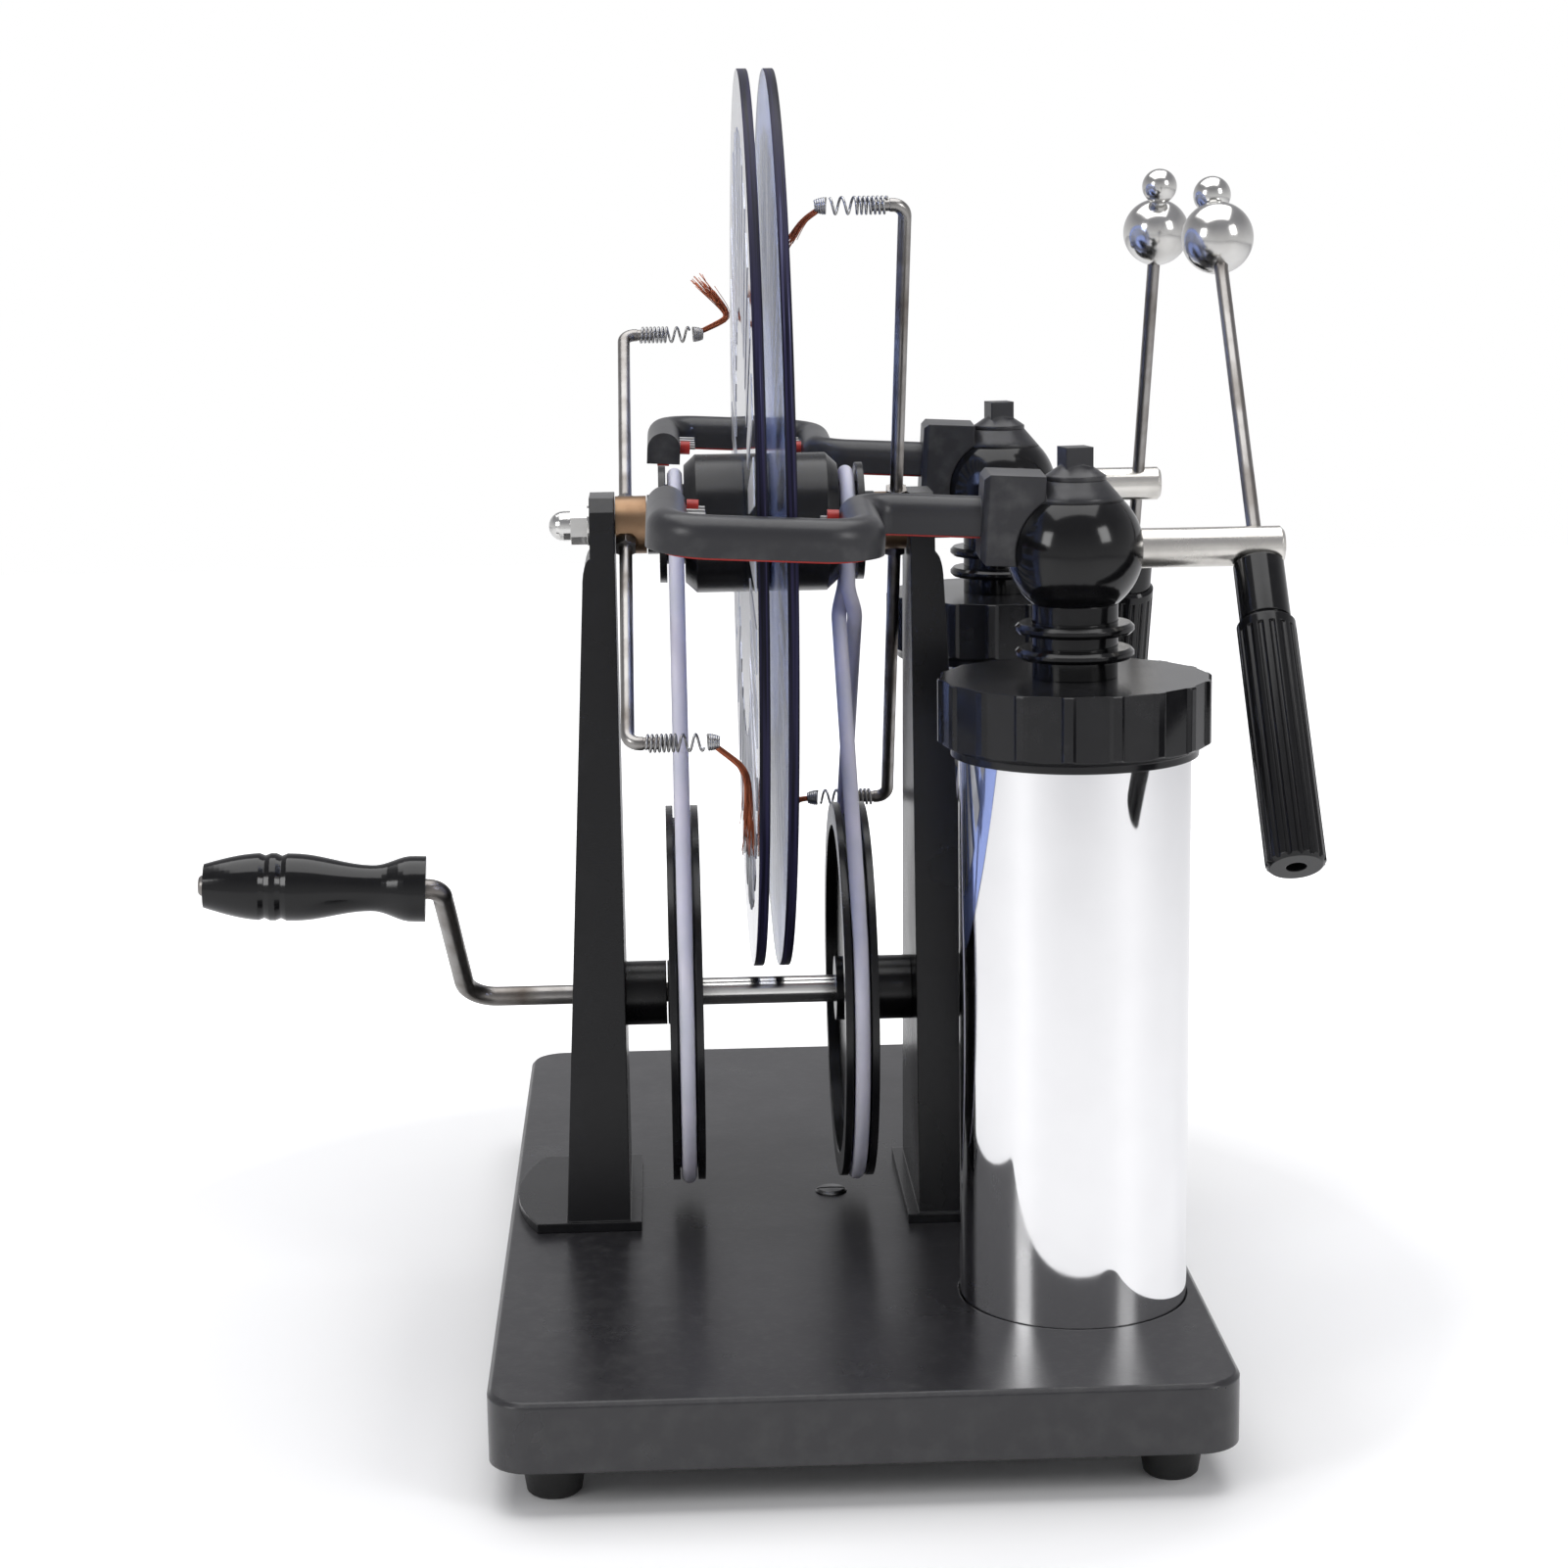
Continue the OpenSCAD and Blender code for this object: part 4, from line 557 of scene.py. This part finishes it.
# The collectors and their combs
# Square aluminium bar bent round both discs and painted dark grey. A red strip is pressed
# into the underside, and needles in red beads point at the sectors.

finish_node("near_collector", collector_paint)
finish_node("far_collector", collector_paint)
red_moulding = painted("red_moulding", (0.42, 0.022, 0.016), (0.5, 0.12, 0.09), 0.34, 1200.0,
                       0.00002, 0.0002, wear_and_highlight=0.2, dust=0.05)
finish_node("comb_strips", red_moulding)
finish_node("comb_needles", metal("needle_steel", (0.3, 0.3, 0.3), (0.2, 0.19, 0.18), 0.3))

# The neutralisers
# A brass collar on each axle end carries two drawn steel rods, screwed in and locked with
# nuts. Each rod bends towards the disc and ends in a spring with a copper brush.

for side in ("crank_side", "jar_side"):
    finish_node(f"{side}_collar", brass)
    finish_node(f"{side}_rods", steel)
    finish_node(f"{side}_nuts", steel)

SPRING_WIRE = 0.0004
SPRING_RADIUS = 0.00235
SPRING_START = 0.0368
CLOSE_CURLS = 7
OPEN_CURLS = 2
CLOSE_PITCH = 0.0013
OPEN_PITCH = 0.0036
CURL_STEPS = 24
WIRE_SIDES = 10
SPRING_END = SPRING_START - 4 * SPRING_WIRE - CLOSE_CURLS * CLOSE_PITCH - OPEN_CURLS * OPEN_PITCH
spring_wire = metal("spring_wire", (0.4, 0.4, 0.4), (0.22, 0.21, 0.2), 0.3)
sides = {
    "crank_side": (-1, 0.096, math.radians(34)),
    "jar_side": (1, 0.105, math.radians(64.5)),
}


def curl_travel(turn):
    if turn <= CLOSE_CURLS:
        return turn * CLOSE_PITCH
    return CLOSE_CURLS * CLOSE_PITCH + (turn - CLOSE_CURLS) * OPEN_PITCH


def spring_line(direction, end, reach, angle):
    tilt = -(math.pi / 2 - angle) if direction < 0 else math.pi / 2 - angle
    turned = Matrix.Rotation(tilt, 3, "X")
    points = []
    for i in range(CURL_STEPS * (CLOSE_CURLS + OPEN_CURLS) + 1):
        turn = i / CURL_STEPS
        around = 2 * math.pi * turn
        local = Vector((direction * (SPRING_START - 2 * SPRING_WIRE - curl_travel(turn)),
                        end * SPRING_RADIUS * math.sin(around),
                        end * (reach + SPRING_RADIUS * math.cos(around))))
        points.append(Vector((disc_plane, 0, axle_z)) + turned @ local)
    return points


def joined(name, meshes):
    bm = bmesh.new()
    for mesh in meshes:
        bm.from_mesh(mesh)
        bpy.data.meshes.remove(mesh)
    mesh = bpy.data.meshes.new(name)
    bm.to_mesh(mesh)
    bm.free()
    return mesh


for side, (direction, reach, angle) in sides.items():
    coils = [tube_mesh("coil", spring_line(direction, end, reach, angle), SPRING_WIRE,
                       WIRE_SIDES) for end in (1, -1)]
    piece(f"{side}_coils", joined(f"{side}_coils", coils), f"{side}_neutraliser",
          "spring_steel", spring_wire, f"{side}_springs")

# The brushes
# Fine copper strands, twisted together and caught in the last tight curls of the spring.
# They are bent by hand so that their tips sweep the sectors.

copper = metal("copper_strand", (0.42, 0.13, 0.065), (0.17, 0.05, 0.03), 0.3, pitch=900.0,
               rounding=0.0, spot=0.25)
brushes = {
    "crank_side_upper": (-1, 1, (0.0058, 0.0055), (0.018, 0.019), 2.0),
    "crank_side_lower": (-1, -1, (0.0072, -0.0085), (0.0076, -0.034), 1.7),
    "jar_side_upper": (1, 1, (0.012, -0.004), (0.0068, -0.0115), 1.0),
    "jar_side_lower": (1, -1, (0.012, -0.0005), (0.0068, -0.006), 1.0),
}


STRANDS = 110
STRAND_RADIUS = 0.00011
STRAND_STEPS = 12
STRAND_SIDES = 5
BUNDLE_RADIUS = 0.0009
STRAY = 0.001
LIFT = 0.0008
RIPPLE = 0.0003
ROOT_CURLS = 5
ROOT_PITCH = 0.00062
ROOT_RADIUS = 0.0021
ROOT_TAPER = 0.0007
ROOT_DEPTH = 0.001


def brush_line(root, middle, tip):
    line = ([root.lerp(middle, k / 8) for k in range(8)]
            + [middle.lerp(tip, k / 8) for k in range(9)])
    for _ in range(4):
        line = [line[0]] + [(line[k - 1] + line[k] * 2 + line[k + 1]) / 4
                            for k in range(1, len(line) - 1)] + [line[-1]]
    return line


def strand_line(line, wide, chance):
    share = math.sqrt(chance.random())
    around = chance.uniform(0, 2 * math.pi)
    length = chance.uniform(0.55, 1.0)
    stray = chance.gauss(0, STRAY) * wide
    lift = chance.gauss(0, LIFT) * wide
    curl = chance.uniform(4.0, 9.0)
    points = []
    for step in range(STRAND_STEPS + 1):
        t = length * step / STRAND_STEPS
        place = t * (len(line) - 1)
        k = min(int(place), len(line) - 2)
        centre = line[k].lerp(line[k + 1], place - k)
        slope = (line[k + 1] - line[k]).normalized()
        cross = Vector((slope.z, 0, -slope.x))
        twist = 2.4 * t + around
        reach = BUNDLE_RADIUS * share * (1 + 0.3 * wide * t)
        ripple = RIPPLE * t * math.sin(curl * t + around * 3)
        points.append(centre + Vector((0, reach * math.cos(twist) + stray * t ** 3 + ripple, 0))
                      + cross * (reach * math.sin(twist) * 0.8 + lift * t ** 3))
    return points


def root_coil(direction, origin):
    points = []
    for i in range(CURL_STEPS * ROOT_CURLS + 1):
        turn = i / CURL_STEPS
        radius = ROOT_RADIUS - ROOT_TAPER * (turn / ROOT_CURLS) ** 2
        points.append(origin + Vector((direction * (SPRING_END - SPRING_WIRE - turn * ROOT_PITCH),
                                       radius * math.sin(2 * math.pi * turn),
                                       radius * math.cos(2 * math.pi * turn))))
    return points


for name, (direction, end, middle, tip, wide) in brushes.items():
    side = name.rsplit("_", 1)[0]
    _, reach, angle = sides[side]
    origin = Vector((disc_plane, -direction * end * reach * math.cos(angle),
                     axle_z + end * reach * math.sin(angle)))
    chance = random.Random(7)
    root = Vector((SPRING_END - ROOT_DEPTH, 0, 0))
    middle_line = brush_line(root, Vector((middle[0], 0, middle[1])), Vector((tip[0], 0, tip[1])))
    lines = [strand_line(middle_line, wide, chance) for _ in range(STRANDS)]
    placed = [[origin + Vector((direction * p.x, p.y, p.z)) for p in line] for line in lines]
    strands = [tube_mesh("strand", line, STRAND_RADIUS, STRAND_SIDES) for line in placed]
    piece(f"{name}_strands", joined(f"{name}_strands", strands), f"{side}_neutraliser",
          "copper_strands", copper, f"{name}_brush")
    piece(f"{name}_root",
          tube_mesh(f"{name}_root", root_coil(direction, origin), SPRING_WIRE, WIRE_SIDES),
          f"{side}_neutraliser", "spring_steel", spring_wire)

# The discharge arms
# A bright steel tube turns in each sphere and holds a drawn rod that slides through its
# cross hole. Nickel-plated balls are screwed on above, and a fluted black grip below.

brushed = metal("brushed_tube", (0.72, 0.7, 0.66), (0.5, 0.48, 0.45), 0.22, spot=0.12)

for side in ("near", "far"):
    finish_node(f"{side}_arm_tube", brushed)
    finish_node(f"{side}_discharge_rod", steel)
    finish_node(f"{side}_discharge_balls", polished)
    finish_node(f"{side}_discharge_handle", gloss)

# The studio
# A plain white floor under three soft boxes, in a pale room. The camera stands where the
# photograph was taken from.


def make_stage_material():
    material, tree, shader = new_material("stage_white")
    place = add_node(tree, "ShaderNodeTexCoord").outputs["Object"]
    far = add_node(tree, "ShaderNodeVectorMath", operation="LENGTH")
    tree.links.new(place, far.inputs[0])
    fade = spread(tree, far.outputs["Value"], 0.22, 0.4)
    tree.links.new(mixed(tree, noise(tree, place, 3.0), (0.9, 0.9, 0.9), (0.92, 0.92, 0.92)),
                   shader.inputs["Base Color"])
    tree.links.new(mixed(tree, fade, (0.0, 0.0, 0.0), (1.0, 1.0, 1.0)),
                   shader.inputs["Emission Color"])
    seen_direct = add_node(tree, "ShaderNodeMapRange")
    tree.links.new(add_node(tree, "ShaderNodeLightPath").outputs["Is Camera Ray"],
                   seen_direct.inputs["Value"])
    seen_direct.inputs["To Max"].default_value = 0.6
    tree.links.new(seen_direct.outputs["Result"], shader.inputs["Emission Strength"])
    shader.inputs["Roughness"].default_value = 0.6
    return material


FLOOR = 2
stage_mesh = bpy.data.meshes.new("stage_floor")
stage_mesh.from_pydata([(-FLOOR, -FLOOR, 0), (FLOOR, -FLOOR, 0), (FLOOR, FLOOR, 0),
                        (-FLOOR, FLOOR, 0)], [], [(0, 1, 2, 3)])
stage_mesh.materials.append(make_stage_material())
stage_floor = bpy.data.objects.new("stage_floor", stage_mesh)
bpy.context.scene.collection.objects.link(stage_floor)


def soft_box(name, place, aim, width, height, power):
    light = bpy.data.lights.new(name, "AREA")
    light.shape = "RECTANGLE"
    light.size = width
    light.size_y = height
    light.energy = power
    lamp = bpy.data.objects.new(name, light)
    lamp.location = place
    lamp.rotation_euler = (Vector(aim) - Vector(place)).to_track_quat("-Z", "Y").to_euler()
    bpy.context.scene.collection.objects.link(lamp)


soft_box("overhead_box", (0.0, 0.1, 1.4), (0.0, 0.0, 0.2), 1.5, 1.5, 19.0)
soft_box("left_box", (-1.2, -0.9, 0.8), (0.0, 0.0, 0.2), 0.45, 0.6, 6.0)
soft_box("right_box", (1.1, -1.0, 0.9), (0.0, 0.0, 0.2), 0.45, 0.6, 6.0)

world = bpy.data.worlds.new("white_room")
bpy.context.scene.world = world
world.use_nodes = True
world_tree = world.node_tree
background = world_tree.nodes["Background"]
background.inputs["Strength"].default_value = 1.0
seen = add_node(world_tree, "ShaderNodeLightPath")
white = add_node(world_tree, "ShaderNodeMath", operation="MAXIMUM")
world_tree.links.new(seen.outputs["Is Camera Ray"], white.inputs[0])
world_tree.links.new(seen.outputs["Is Transmission Ray"], white.inputs[1])
room = add_node(world_tree, "ShaderNodeSeparateXYZ")
world_tree.links.new(add_node(world_tree, "ShaderNodeTexCoord").outputs["Generated"],
                     room.inputs[0])
walls = spread(world_tree, room.outputs["Z"], -0.1, 0.55)
lit = mixed(world_tree, walls, (0.8, 0.8, 0.81), (0.34, 0.34, 0.36))
world_tree.links.new(mixed(world_tree, white.outputs[0], lit, (1.0, 1.0, 1.0)),
                     background.inputs["Color"])

camera_data = bpy.data.cameras.new("photo_camera")
camera_data.lens = 70.76
camera_data.sensor_width = 36.0
camera = bpy.data.objects.new("photo_camera", camera_data)
camera_place = Vector((-0.01838, -0.93814, 0.34402))
camera_right = Vector((0.99902, -0.04178, -0.01459))
camera_up = Vector((0.02216, 0.18698, 0.98211))
camera_back = Vector((-0.03831, -0.98147, 0.18772))
camera.matrix_world = (Matrix.Translation(camera_place)
                       @ Matrix((camera_right, camera_up, camera_back)).transposed().to_4x4())
bpy.context.scene.collection.objects.link(camera)
bpy.context.scene.camera = camera
bpy.context.scene.view_settings.view_transform = "Standard"
